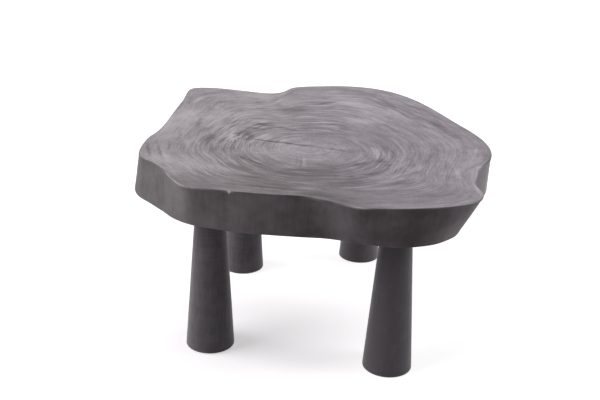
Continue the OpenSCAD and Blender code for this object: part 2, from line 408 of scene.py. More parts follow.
@dataclass(frozen=True)
class SandedUnderside(Finish):
    """The underside of the same slab, flattened with a router sled, sanded and stained once.

    The eye gets the rings again, darker and flatter than on top, crossed by the faint tracks
    of the wide cutter.
    """

    name: str = "sanded underside"
    roughness: float = 0.6
    shades: tuple[tuple[float, str], ...] = ((0.0, "#3a3538"), (1.0, "#585255"))
    grains: tuple[Grain, ...] = (
        Grain((3.2, 90.0, 90.0), 0.45, 0.45, 3.0, follows="grain"),       # ring lines as on top
        Grain((60.0, 80.0, 80.0), 0.3, 0.3, 1.0, follows="grain"),        # clouds
        Grain((400.0, 19.0, 400.0), 0.25, 0.25, 0.0, 0.35, 0.65))         # a 25 mm cutter's passes
    relief_mm: float = 0.12
    specular: float = 0.35


@dataclass(frozen=True)
class RoutedRecess(Finish):
    """Bare hardwood left by the router in the plate recess, never stained.

    The eye would get pale brown end grain with dark pores, seen only when a leg is off.
    """

    name: str = "routed bare hardwood"
    roughness: float = 0.7
    shades: tuple[tuple[float, str], ...] = ((0.0, "#7d5f43"), (1.0, "#b08d66"))
    grains: tuple[Grain, ...] = (Grain((1.2, 1.2, 20.0), 1.0, 1.0),)      # pores
    relief_mm: float = 0.1


@dataclass(frozen=True)
class TurnedStainedWood(Finish):
    """Hardwood turned on a lathe, stained black and lacquered satin.

    The eye gets an even dark grey with upright grain, a few paler fibres and a soft sheen that
    runs up both sides of each leg. Its ends are rubbed paler.
    """

    name: str = "turned stained hardwood"
    roughness: float = 0.45
    shades: tuple[tuple[float, str], ...] = ((0.1, "#474347"), (0.5, "#575357"), (0.95, "#6b666a"))
    grains: tuple[Grain, ...] = (
        Grain((1.6, 1.6, 60.0), 0.34, 0.7, 3.0),          # fibres
        Grain((8.0, 8.0, 140.0), 0.18),                   # flames
        Grain((40.0, 40.0, 50.0), 0.30),                  # clouds
        Grain((300.0, 300.0, 2.2), 0.18, 0.3, 1.0))       # rings of the turning gouge
    start: float = -0.24
    levels: tuple[tuple[str, float], ...] = (("tone", 1.0),)
    coats: tuple[Coat, ...] = (Coat("wear", "#6b666a"),)
    relief_mm: float = 0.18
    specular: float = 0.14
    sheen: float = 0.35


@dataclass(frozen=True)
class ZincPlatedSteel(Finish):
    """Mild steel, turned or pressed, then zinc-plated bright.

    The eye gets a cool grey metal with a slightly cloudy shine.
    """

    name: str = "zinc-plated steel"
    roughness: float = 0.32
    shades: tuple[tuple[float, str], ...] = ((0.0, "#9fa4ab"), (1.0, "#c9cdd2"))
    grains: tuple[Grain, ...] = (Grain((4.0, 4.0, 4.0), 1.0, 0.0, 3.0),)      # clouds in the plating
    shine: tuple[float, float] = (0.1, -0.05)
    metallic: float = 1.0


@dataclass(frozen=True)
class MouldedNylon(Finish):
    """Black nylon 6, injection moulded, with the fine spark texture of the mould.

    The eye gets a dull black with a waxy sheen, scuffed greyer on the sole.
    """

    name: str = "moulded black nylon"
    roughness: float = 0.5
    shades: tuple[tuple[float, str], ...] = ((0.0, "#1b1b1d"), (1.0, "#39393c"))
    grains: tuple[Grain, ...] = (
        Grain((0.5, 0.5, 0.5), 0.0, 1.0, 1.0),                # drawn coarser than the real 0.1 mm, to show
        Grain((9.0, 1.5, 9.0), 1.0, 0.0, 2.0, 0.5, 0.8))      # scuffs
    relief_mm: float = 0.05
    ior: float = 1.53


@dataclass(frozen=True)
class StudioPaper(Finish):
    """Matt white background paper, rolled out under the table and far beyond it.

    The eye gets plain white. The camera and glossy surfaces see part of it lit up by an even white,
    lower near the table and higher away from it, which paints light over the table's shadow further
    off; the rest is the paper itself, which keeps the table's shadow.
    """

    name: str = "matt white paper"
    roughness: float = 0.9
    shades: tuple[tuple[float, str], ...] = ((0.0, "#c2bcc1"), (1.0, "#c8c3c7"))
    grains: tuple[Grain, ...] = (Grain((3.0, 3.0, 3.0), 1.0, 0.0, 2.0, 0.0, 1.0),)      # paper fibres
    specular: float = 0.1
    # painted light: the even white rises from near the table to away from it, so the table's far shadow is
    # painted out
    even: float = 0.50          # even light that sight and reflections get near the table
    bright: float = 0.80        # and away from it, where the photograph's paper is plain white
    middle: tuple[float, float, float] = (-130.0, -190.0, 0.0)
    near_mm: float = 60.0
    far_mm: float = 400.0

    def surface(self, tree: bpy.types.NodeTree, shader: bpy.types.NodeSocket) -> bpy.types.NodeSocket:
        """Adds the even white that only sight and reflections see.

        Args:
            tree: The material's node tree.
            shader: The paper's own shader.

        Returns:
            The socket with both together.
        """
        place = add_node(tree, "Attribute", {"attribute_name": "place"})
        away = add_node(tree, "VectorMath", {"operation": "DISTANCE"},
                        {0: place.outputs["Vector"], 1: self.middle})
        even = add_node(tree, "MapRange", {"interpolation_type": "SMOOTHSTEP"}, {
            0: away.outputs["Value"], 1: self.near_mm, 2: self.far_mm, 3: self.even, 4: self.bright})
        share = add_node(tree, "Math", {"operation": "MULTIPLY"}, {0: seen_ray(tree), 1: even.outputs[0]})
        white = add_node(tree, "Emission", inputs={"Color": WHITE, "Strength": share.outputs[0]})
        return add_node(tree, "AddShader", inputs={0: shader, 1: white.outputs[0]}).outputs[0]


def soft_noise(where: np.ndarray, seed: int) -> np.ndarray:
    """Smooth noise that is the same on every run.

    Args:
        where: Points, one row each, in steps of the noise.
        seed: Which noise.

    Returns:
        A value from -1 to 1 for each point.
    """
    table = np.random.default_rng(seed).uniform(-1, 1, 4096)
    base = np.floor(where).astype(np.int64)
    part = where - base
    part = part * part * (3 - 2 * part)
    primes = np.array([73856093, 19349663, 83492791])[:where.shape[1]]
    total = np.zeros(len(where))
    for corner in itertools.product((0, 1), repeat=where.shape[1]):
        picked = np.where(corner, part, 1 - part).prod(1)
        total += picked * table[((base + corner) * primes).sum(1) % len(table)]
    return total


def smooth_step(value: np.ndarray, low: float, high: float) -> np.ndarray:
    """Rises smoothly from 0 at low to 1 at high."""
    share = np.clip((value - low) / (high - low), 0, 1)
    return share * share * (3 - 2 * share)


def bell(value: np.ndarray, half: float) -> np.ndarray:
    """1 where the value is 0, falling smoothly to both sides, to about a third at the half width."""
    return np.exp(-(value / half) ** 2)


@dataclass(frozen=True)
class Swell:
    """Smooth unevenness of one size.

    Args:
        steps: Its size in millimetres, one number or one for each direction.
        height: What it adds at most.
        seed: Which noise it is.
    """

    steps: float | tuple[float, ...]
    height: float
    seed: int

    def at(self, where: np.ndarray) -> np.ndarray:
        """Its value at points, one row each."""
        return self.height * soft_noise(where / np.array(self.steps), self.seed)


@dataclass(frozen=True)
class Patch:
    """An oval in plan where the slab took more or less stain, was rubbed, or shows its rings more or less.

    Args:
        x: Middle, to the right.
        y: Middle, to the back.
        half_long: Half its length.
        half_wide: Half its width.
        turn_deg: Direction of its length.
        tone: Above 0 paler or stronger, below 0 darker or weaker.
    """

    x: float
    y: float
    half_long: float
    half_wide: float
    turn_deg: float
    tone: float

    def at(self, plan: np.ndarray) -> np.ndarray:
        """How much of the patch's tone each point has.

        Args:
            plan: Points in plan, one row each.

        Returns:
            The tone at each point.
        """
        turn = math.radians(self.turn_deg)
        along = (plan[:, 0] - self.x) * math.cos(turn) + (plan[:, 1] - self.y) * math.sin(turn)
        across = -(plan[:, 0] - self.x) * math.sin(turn) + (plan[:, 1] - self.y) * math.cos(turn)
        return self.tone * bell(along, self.half_long) * bell(across, self.half_wide)


def ovals(*rows: tuple[float, ...]) -> tuple[Patch, ...]:
    """Patches, each from its numbers in the order of the class."""
    return tuple(Patch(*row) for row in rows)


def summed(parts: Iterable[Patch | Swell], where: np.ndarray) -> np.ndarray:
    """The sum of patches or swells at points, one row each."""
    return sum(part.at(where) for part in parts)


@dataclass
class Draft:
    """A mesh on the drawing board: points in millimetres, faces, and values that each point carries."""

    points: list[np.ndarray] = field(default_factory=list)
    faces: list[tuple[int, ...]] = field(default_factory=list)
    finish_of_face: list[int] = field(default_factory=list)

    def all_points(self) -> np.ndarray:
        """All points so far."""
        return np.concatenate(self.points)

    def add_points(self, points: np.ndarray) -> np.ndarray:
        """Adds points.

        Args:
            points: One row each.

        Returns:
            Their numbers.
        """
        start = sum(len(p) for p in self.points)
        self.points.append(np.asarray(points, float).reshape(-1, 3))
        return np.arange(start, start + len(self.points[-1]))

    def add_faces(self, faces: Sequence[Sequence[int]], finish: int = 0) -> None:
        """Adds faces that share one finish."""
        self.faces.extend(tuple(int(i) for i in f) for f in faces)
        self.finish_of_face.extend([finish] * len(faces))

    def join(self, rows: np.ndarray, finish: int = 0) -> None:
        """Joins closed rows of points that are there by a skin.

        Args:
            rows: The points' numbers, one row a ring, each ring going round the other way from
                a clock. The skin faces away from the axis where the rows go up.
            finish: Number of the finish.
        """
        low, high = rows[:-1], rows[1:]
        quads = np.stack([low, np.roll(low, -1, 1), np.roll(high, -1, 1), high], -1)
        self.add_faces(quads.reshape(-1, 4).tolist(), finish)

    def add_rings(self, rings: np.ndarray, finish: int = 0, first: np.ndarray | None = None,
                  down: bool = False) -> np.ndarray:
        """Adds a skin over closed rings of equal count.

        Args:
            rings: Array of ring, point in ring, coordinate.
            finish: Number of the finish.
            first: Numbers of the points of a ring that is already there and stands for the first.
            down: True if the rings go down on the outside, and so join in the other order.

        Returns:
            The numbers of all ring points, one row a ring.
        """
        new = self.add_points(rings if first is None else rings[1:]).reshape(-1, rings.shape[1])
        numbers = new if first is None else np.vstack([first, new])
        self.join(numbers[::-1] if down else numbers, finish)
        return numbers

    def add_fan(self, ring: np.ndarray, tip: Sequence[float], finish: int = 0, up: bool = True) -> None:
        """Closes a ring with triangles to a point.

        Args:
            ring: Numbers of the ring's points.
            tip: The point.
            finish: Number of the finish.
            up: True if the faces look up when the ring goes round the other way from a clock.
        """
        middle = int(self.add_points(np.array([tip]))[0])
        pairs = zip(ring.tolist(), np.roll(ring, -1).tolist())
        self.add_faces([(a, b, middle) if up else (b, a, middle) for a, b in pairs], finish)

    def make(self, name: str, finishes: Sequence[bpy.types.Material],
             values: dict[str, np.ndarray] | None = None,
             sharp_deg: float = WOOD_SHARP_DEG) -> bpy.types.Object:
        """Makes the object.

        Args:
            name: Its name.
            finishes: Its materials, in the order of the faces' numbers.
            values: What each point carries, by attribute name: one number or three.
            sharp_deg: Edges that turn by more than this are drawn sharp.

        Returns:
            The new object, in the scene.
        """
        points = self.all_points()
        mesh = bpy.data.meshes.new(name)
        mesh.from_pydata((points * MM).tolist(), [], self.faces)
        for made in finishes:
            mesh.materials.append(made)
        mesh.polygons.foreach_set("material_index", self.finish_of_face)
        mesh.polygons.foreach_set("use_smooth", [True] * len(self.faces))
        mesh.set_sharp_from_angle(angle=math.radians(sharp_deg))
        for key, data in {"place": points, **(values or {})}.items():
            flat = np.asarray(data, np.float32)
            kind, slot = ("FLOAT_VECTOR", "vector") if flat.ndim == 2 else ("FLOAT", "value")
            mesh.attributes.new(key, kind, "POINT").data.foreach_set(slot, flat.ravel())
        mesh.validate()
        mesh.update()
        piece = bpy.data.objects.new(name, mesh)
        bpy.context.scene.collection.objects.link(piece)
        return piece

    def stand_for(self, node: str, name: str, finishes: Sequence[bpy.types.Material],
                  values: dict[str, np.ndarray] | None = None,
                  sharp_deg: float = METAL_SHARP_DEG) -> bpy.types.Object:
        """Makes the piece that stands for a CAD node, and sets it in the frame.

        Args:
            node: The CAD node.
            name: The piece's name.
            finishes: The piece's materials, in the order of the faces' numbers.
            values: What each point carries, by attribute name: one number or three.
            sharp_deg: Edges that turn by more than this are drawn sharp.

        Returns:
            The piece.
        """
        piece = self.make(name, finishes, values, sharp_deg)
        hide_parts(node)
        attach(piece, BODY)
        log.info("%s: %d faces", piece.name, len(piece.data.polygons))
        return piece


def toward(turns: np.ndarray) -> np.ndarray:
    """Unit vectors in plan along bearings in radians."""
    return np.stack([np.cos(turns), np.sin(turns)], -1)


def turned(profile: Sequence[tuple[float, float]], count: int) -> np.ndarray:
    """Rings of a turned shape.

    Args:
        profile: Radius and height of each ring.
        count: Points in a ring.

    Returns:
        Array of ring, point in ring, coordinate.
    """
    line = np.asarray(profile, float)
    flat = line[:, 0, None, None] * toward(np.arange(count) * FULL_TURN / count)
    height = np.broadcast_to(line[:, 1, None, None], (len(line), count, 1))
    return np.concatenate([flat, height], -1)


def moved(rings: np.ndarray, axis: Sequence[float]) -> np.ndarray:
    """Moves rings in plan to an axis."""
    return rings + np.array([axis[0], axis[1], 0.0])


def eased(size: float, count: int) -> list[tuple[float, float]]:
    """Inset and rise of each ring of a rounded edge, from the flat face to the wall."""
    return [(size * (1 - math.sin(t)), size * (1 - math.cos(t))) for t in np.linspace(0, QUARTER_TURN, count)]


def pulled_in(rings: np.ndarray, depth: np.ndarray, most: float = 1.0) -> np.ndarray:
    """Moves each point of rings about the origin towards the axis.

    Args:
        rings: Array of ring, point in ring, coordinate.
        depth: How far each point moves.
        most: The largest share of its radius that a point may move.

    Returns:
        The moved rings.
    """
    flat = rings.reshape(-1, 3).copy()
    flat[:, :2] *= (1 - np.minimum(depth / np.hypot(*flat[:, :2].T), most))[:, None]
    return flat.reshape(rings.shape)


def triangles(loops: Sequence[np.ndarray], loose: np.ndarray | None = None) -> list[list[int]]:
    """Divides a flat face into triangles, keeping closed loops of points as edges.

    Args:
        loops: Points in plan of each loop, the outer loop first.
        loose: Points in plan that lie on no loop. With them the triangles also fill the
            outline's hollows, and without them they end at the outer loop.

    Returns:
        The corners of each triangle, counted through all loops and then the loose points.
    """
    lines, start = [], 0
    for loop in loops:
        own = list(range(start, start + len(loop)))
        lines += zip(own, own[1:] + own[:1])
        start += len(loop)
    flat = [mathutils.Vector(p) for p in np.vstack(loops if loose is None else [*loops, loose])]
    _, _, faces, origin, *_ = mathutils.geometry.delaunay_2d_cdt(flat, lines, [], int(loose is None), 1e-6)
    return [[origin[i][0] for i in face] for face in faces]


def closed_curve(bearing: np.ndarray, radius: np.ndarray, wanted: np.ndarray) -> np.ndarray:
    """Reads a closed smooth curve through points given by bearing and radius.

    Args:
        bearing: Rising bearings within one turn.
        radius: The radius at each.
        wanted: Bearings to read at, in any turn.

    Returns:
        The radius at each wanted bearing.
    """
    keep = np.concatenate([[True], np.diff(bearing) > 1e-4])
    turn, far = bearing[keep], radius[keep]
    turn = np.concatenate([turn[-3:] - FULL_TURN, turn, turn[:3] + FULL_TURN])
    far = np.concatenate([far[-3:], far, far[:3]])
    slope = np.gradient(far, turn)
    at = (wanted - bearing[0]) % FULL_TURN + bearing[0]
    after = np.clip(np.searchsorted(turn, at), 1, len(turn) - 1)
    gap = turn[after] - turn[after - 1]
    share = (at - turn[after - 1]) / gap
    start, end = far[after - 1], far[after]
    lead, trail = slope[after - 1] * gap, slope[after] * gap
    return ((2 * share ** 3 - 3 * share ** 2 + 1) * start + (share ** 3 - 2 * share ** 2 + share) * lead
            + (3 * share ** 2 - 2 * share ** 3) * end + (share ** 3 - share ** 2) * trail)


def reach_of(ring: np.ndarray) -> Callable[[np.ndarray], np.ndarray]:
    """The distance to a closed line by bearing.

    Args:
        ring: Points of the line in plan, as seen from the point that the bearings leave from.

    Returns:
        A function from bearings to distances.
    """
    bearing = np.arctan2(ring[:, 1], ring[:, 0])
    order = np.argsort(bearing)
    return lambda turns: closed_curve(bearing[order], np.hypot(*ring[order].T), turns)


def outward(edge: np.ndarray) -> np.ndarray:
    """Unit vectors that point out of a closed line going round the other way from a clock."""
    along = np.roll(edge, -1, 0) - np.roll(edge, 1, 0)
    normal = np.column_stack([along[:, 1], -along[:, 0]])
    return normal / np.hypot(*normal.T)[:, None]


def half_turned(turn: np.ndarray) -> np.ndarray:
    """The same turn between minus and plus half a turn."""
    return (turn + math.pi) % FULL_TURN - math.pi


@dataclass(frozen=True)
class Check:
    """One drying check.

    Args:
        spoke: Number of the mesh spoke that runs in it, counted from the first check's direction.
        start: Where it opens, from the point where the checks close.
        end: Where it runs out.
        width: Its width where it is widest.
        depth: Its depth there.
        walls: How many spokes beside it each line of a wall is, and how far out, in half widths.
    """

    spoke: int
    start: float
    end: float
    width: float
    depth: float
    walls: tuple[tuple[int, float], ...] = ((1, 0.72), (2, 0.95), (3, 1.35))

    def share(self, radius: np.ndarray) -> np.ndarray:
        return np.sin(np.clip((radius - self.start) / (self.end - self.start), 0, 1) * math.pi)

    def column(self, spoke: np.ndarray, step: int) -> int:
        """The column of the spoke that is some steps beside the check."""
        return int(np.flatnonzero((spoke - self.spoke - step) % len(spoke) == 0)[0])

    def open(self, turns: np.ndarray, radius: np.ndarray, spoke: np.ndarray) -> None:
        """Draws the spokes beside the check close to its walls.

        Args:
            turns: Turn of each point from the first check's direction; changed in place.
            radius: Distance of each point from the point where the checks close.
            spoke: Number of each spoke.
        """
        middle = turns[:, self.column(spoke, 0)].copy()
        for step, part in self.walls:
            for side in (-1, 1):
                column = self.column(spoke, side * step)
                far = radius[:, column]
                half = self.width / 2 * (0.10 + 0.90 * self.share(far) ** 0.5)
                own = half_turned(turns[:, column] - middle)
                kept = smooth_step(far - self.start, -12, 0) * smooth_step(self.end - far, -30, 0)
                kept = np.where(half * part < np.abs(own) * far, kept, 0)
                turns[:, column] += kept * (side * half * part / far - own)

    def profile(self, radius: np.ndarray, spoke: np.ndarray) -> np.ndarray:
        """Args:
            radius: Distance of each point from the point where the checks close.
            spoke: Number of each spoke.

        Returns:
            The depth in millimetres.
        """
        half = len(spoke) // 2
        steps = np.abs((spoke - self.spoke + half) % len(spoke) - half)
        across = np.interp(steps, [0, 1, 2, 3], [1.0, 0.8, 0.12, 0.0])
        return self.depth * self.share(radius) ** 0.35 * (0.9 + 0.1 * np.sin(radius / 4.7)) * across


class Face(IntEnum):
    """The slab's faces, by the number of their finish."""

    TOP = 0
    SIDE = 1
    UNDERSIDE = 2
    RECESS = 3


@dataclass
class Slab:
    """The cross-cut slab: brushed top, live edge, flat underside with a recess for each plate."""

    top_z: float = field(default_factory=lambda: round(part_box("slab_top")[1][2] / MM, 2))
    under_z: float = field(default_factory=lambda: round(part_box("slab_top")[0][2] / MM, 2))
    top_ease: float = 2.0
    under_ease: float = 4.0
    bearings: int = 512                               # spokes of the mesh
    top_rings: int = 138
    side_rings: int = 26
    heart: tuple[float, float] = (-12.0, -110.0)      # pith of the trunk, in plan
    bore_reach: float = 340.0                         # the CAD's bores lie inside this, its outline outside
    # the growth rings
    round_years: float = 120.0                        # inside this radius they are round
    corner_passes: int = 26                           # how much rounder than the outline they are
    halvings: int = 24                                # steps of the search for a point's growth
    furthest: float = 1.3                             # where the search starts, as a share of the mean radius
    wobble: tuple[Swell, ...] = (Swell(95.0, 4.0, 11), Swell(40.0, 0.9, 12), Swell(15.0, 0.4, 13))
    wobble_radius: float = 80.0                       # they wobble fully from here on
    # knots: place in plan, size, and how far the rings stray there, and the two noises of that
    knots: tuple[tuple[float, float, float, float], ...] = (
        (-190.0, -38.0, 26.0, 12.0), (150.0, -130.0, 30.0, 9.0), (-120.0, 45.0, 40.0, 8.0),
        (-80.0, 215.0, 45.0, 12.0))
    knot_noises: tuple[tuple[float, int], ...] = ((0.5, 14), (0.4, 15))
    heart_years: tuple[float, float] = (60.0, 150.0)  # over this growth the heart's own marks fade
    heart_marks: tuple[float, float] = (0.26, 0.05)   # how strong they are inside and outside
    # how strongly the rings show: little in the heart, most in the middle, less at the bark
    swing_rise: tuple[float, float] = (95.0, 140.0)
    swing_fall: tuple[float, float] = (240.0, 390.0)
    swing_levels: tuple[float, float, float] = (0.30, 0.85, 0.425)
    swing_limits: tuple[float, float] = (0.3, 2.2)
    # the drying checks
    check_end: tuple[float, float] = (-6.0, -90.0)    # where they close, and where the spokes start
    check_turn_deg: float = 164.0                     # direction of the first from there
    check_bend: float = 2.0                           # how far the first bows out of its direction
    bend_half: float = 0.4                            # in radians, how far to its sides the mesh bends too
    # painted shade: the checks' walls are painted darker the deeper they lie
    check_painted_shade: tuple[float, float] = (0.6, 1.4)      # depths over which their walls turn dark
    check_zone: tuple[float, float] = (162.0, 6.0)    # half length and half width of the zone that holds them
    checks: tuple[Check, ...] = (Check(0, 2.0, 150.0, 5.8, 9.0), Check(-256, 36.0, 106.0, 3.4, 5.0))
    # spokes crowd along the first check and at the knocks: how much more, and over how many radians
    check_crowd: tuple[float, float] = (1.2, 0.16)
    chip_crowd: tuple[float, float] = (4.0, 0.02)
    # knocks on the front arris: place in plan and size
    chips: tuple[tuple[float, float, float], ...] = (
        (-183.8, -394.6, 2.4), (-177.0, -395.0, 4.2), (-170.6, -395.6, 2.0))
    chip_low: float = 5.5                             # how far down they show bare wood
    chip_fade: tuple[float, float] = (0.4, 1.0)       # and over which shares of their size it ends
    chip_depth: float = 1.2
    # the brushed top's relief, over distance from the heart and plan, and its dents
    top_depth: float = 0.34
    top_swells: tuple[Swell, ...] = (
        Swell((8.0, 90.0, 90.0), 0.16, 21), Swell((26.0, 140.0, 140.0), 0.14, 22))
    top_dents: Swell = Swell(12.0, 1.0, 23)
    dent_levels: tuple[float, float] = (0.72, 0.95)   # of the noise, where a dent begins and is deepest
    dent_depth: float = 0.25
    rim_depth: float = 0.02                           # the top face ends almost level with the CAD's
    end_depth: float = 0.3                            # and lies this deep where the checks close
    # the live edge's relief: flutes, ripples and lumps, and nibbles near the arris
    side_depth: float = 0.9
    side_swells: tuple[Swell, ...] = (
        Swell((26.0, 26.0, 150.0), 0.5, 51), Swell((9.0, 9.0, 60.0), 0.12, 52),
        Swell((45.0, 45.0, 28.0), 0.4, 53))
    nibbles: Swell = Swell((7.0, 7.0, 9.0), 0.15, 54)
    nibble_half: float = 5.0
    side_fades: tuple[float, float] = (9.0, 2.5)      # it sets in over so much under the top, over the bottom
    # the recesses for the plates, as radius and height from the rim in, and the mesh between them
    recess: tuple[tuple[float, float], ...] = (
        (29.5, 358.0), (29.5, 361.0), (10.5, 361.0), (10.5, 376.0), (6.5, 376.0), (6.5, 385.0))
    recess_points: int = 64
    grid_half: float = 460.0
    grid_step: float = 13.0
    border_clear: float = 9.0                         # the mesh's loose points keep this far from the border
    recess_clear: float = 4.0                         # and from the recesses
    grid_swells: tuple[Swell, ...] = (Swell(17.0, 3.0, 61), Swell(17.0, 3.0, 62))
    # tone of the year groups, over growth and plan; fraying of the top's patches; rubbing of the arris,
    # partly painted highlight
    year_tone: Swell = Swell((16.0, 130.0, 130.0), 0.14, 31)
    fray: tuple[Swell, ...] = (Swell(11.0, 2.5, 33), Swell(11.0, 2.5, 34))
    rub: tuple[Swell, ...] = (Swell(60.0, 1.0, 41), Swell(14.0, 0.25, 42))
    rub_levels: tuple[float, float] = (-0.1, 0.8)     # of the noise, where rubbing begins and is full
    rub_weight: float = 0.25
    arris_drop: float = 1.2                           # how far under the top the rubbed line's middle is
    arris_half: float = 2.0                           # and how far it reaches up and down from there
    yellowing: tuple[float, float] = (-40.0, 160.0)   # how far left the lacquer turns yellow, and is so fully
    # bare wood and rubbed wood along the arris, partly painted highlight there, and painted highlights on the
    # notch's lips on the side under it
    bared_and_highlit: tuple[Patch, ...] = ovals(
        (-310, -303, 14, 12, -60, 0.3), (-278, -362, 12, 12, -50, 0.16), (-177, -395, 10, 5, 0, 0.3),
        (8, -403, 12, 10, -15, 0.3))
    rubbed: tuple[Patch, ...] = ovals(
        (-296, -334, 34, 16, -60, 0.42), (-246, -385, 40, 12, -20, 0.4), (338, -325, 34, 16, 90, 1.0),
        (366, -192, 14, 14, 60, 0.9), (300, -400, 46, 14, 25, 0.8), (10, -403, 18, 12, -15, 0.55),
        (88, -452, 22, 12, -30, 0.7))
    painted_highlight_lips: tuple[Patch, ...] = ovals(
        (384, -145, 50, 24, 75, 0.4), (402, -110, 26, 12, 70, 0.6), (370, -166, 4, 4, 0, -0.25),
        (379, -152, 3.5, 5, 0, -0.2), (386, -140, 3.5, 4, 0, -0.3))
    # the top's stain: broad patches, then single strokes; the last three strokes are painted highlights where
    # the top rolls over the arris
    patches: tuple[Patch, ...] = ovals(
        (-95, -165, 62, 60, 0, 0.16), (-10, -190, 60, 45, 0, 0.16), (-76, -68, 75, 4, -16, -0.5),
        (-100, -265, 130, 20, -18, -0.54), (30, -262, 110, 22, 8, -0.66), (-60, -345, 170, 44, -4, -0.6),
        (100, -200, 60, 14, 25, -0.3), (20, -410, 110, 30, 0, -0.5), (80, -300, 60, 26, 0, -0.34),
        (-250, -365, 60, 30, -35, -0.4), (-172, -90, 32, 70, 0, -0.42), (60, -105, 40, 3.5, -10, -0.6),
        (-240, -250, 50, 30, -40, 0.24), (-240, 40, 30, 60, 0, 0.2), (-150, -185, 44, 28, -40, -0.4),
        (-130, 62, 42, 12, -24, -0.75), (-70, 38, 24, 7, -28, -0.85), (-138, 34, 30, 7, -6, -0.75),
        (-165, -18, 14, 34, 8, -0.75), (-198, -38, 10, 40, 4, 0.6), (-112, -28, 12, 30, -35, 0.4),
        (-62, 205, 34, 20, 0, -0.75), (-104, 272, 10, 50, 12, -0.25), (-72, 250, 34, 22, 30, 0.2),
        (60, 350, 60, 34, -10, 0.36), (118, 270, 62, 46, -10, 0.42), (112, 132, 60, 26, -20, 0.5),
        (150, 140, 40, 30, -50, 0.3), (-310, 20, 40, 170, 0, 0.34), (-370, 10, 30, 110, 0, 0.62),
        (-330, 130, 30, 80, 0, 0.34), (-140, 322, 60, 34, -20, 0.4), (-235, 130, 60, 40, 0, 0.24),
        (-130, 128, 60, 26, 0, 0.32), (-250, 330, 50, 60, 0, 0.2), (-120, 240, 50, 30, 0, 0.22),
        (-300, -225, 70, 44, -50, 0.34), (-365, -210, 40, 60, 20, 0.3), (315, 95, 12, 90, 28, -0.6),
        (255, 200, 10, 90, 30, -0.5), (196, 296, 12, 60, 26, -0.45), (230, 190, 40, 100, 28, 0.32),
        (150, 415, 60, 22, -30, 0.26), (245, 340, 30, 50, 30, 0.3), (355, -250, 46, 110, 0, 0.34),
        (340, -20, 36, 80, 0, 0.16), (96, 418, 50, 10, -12, -0.4), (60, 300, 26, 7, 38, -0.5),
        (-285, 330, 50, 12, 40, -0.3), (-250, 262, 90, 9, 20, -0.3), (-255, -60, 14, 60, 0, -0.35),
        (-285, 90, 10, 60, 0, -0.3), (155, -130, 14, 46, 12, 0.35), (140, -160, 50, 40, 0, -0.16),
        (140, -20, 46, 60, 0, -0.2), (45, 90, 90, 9, 4, -0.35), (10, 8, 70, 6, 6, -0.5),
        (30, 110, 60, 40, 0, 0.2), (245, -300, 50, 40, 0, 0.24), (120, -390, 90, 16, 4, 0.15),
        (0, 40, 120, 60, 0, -0.12), (-374, 70, 34, 60, 0, 0.2), (-300, 118, 30, 40, 0, 0.16),
        (-210, 240, 70, 46, 0, 0.16), (-215, -245, 50, 36, -30, 0.18), (-55, -112, 60, 34, 0, 0.22),
        (70, 425, 90, 20, 0, 0.18), (240, 205, 36, 70, 30, 0.16), (300, 248, 34, 30, -30, 0.12),
        (345, -190, 24, 60, 0, 0.14), (-310, -296, 40, 26, -45, 0.16), (240, -362, 34, 18, 0, -0.2),
        (-20, -215, 110, 50, 0, -0.32), (-125, -222, 40, 40, 0, -0.18), (70, -300, 60, 24, 0, -0.25),
        (5, -28, 34, 42, 0, -0.3), (-50, -415, 110, 26, 0, -0.2), (-120, -362, 36, 16, 0, -0.18),
        (-250, 120, 170, 70, 0, 0.2), (-368, 75, 30, 56, 0, 0.22), (-160, 315, 150, 60, 0, 0.22),
        (175, 215, 100, 50, 0, 0.18), (60, 300, 40, 24, 0, 0.2), (120, 360, 34, 18, 0, -0.26),
        (130, 422, 90, 16, 0, 0.2), (295, 15, 50, 110, 0, 0.2), (275, -235, 60, 40, 0, 0.14),
        (358, -165, 26, 70, 0, 0.14), (392, -122, 22, 9, 70, -0.35), (190, -375, 90, 26, 8, -0.2),
        (-362, -228, 32, 50, 10, 0.24), (-215, -225, 60, 46, 0, 0.16), (-300, -355, 30, 20, 0, -0.15))
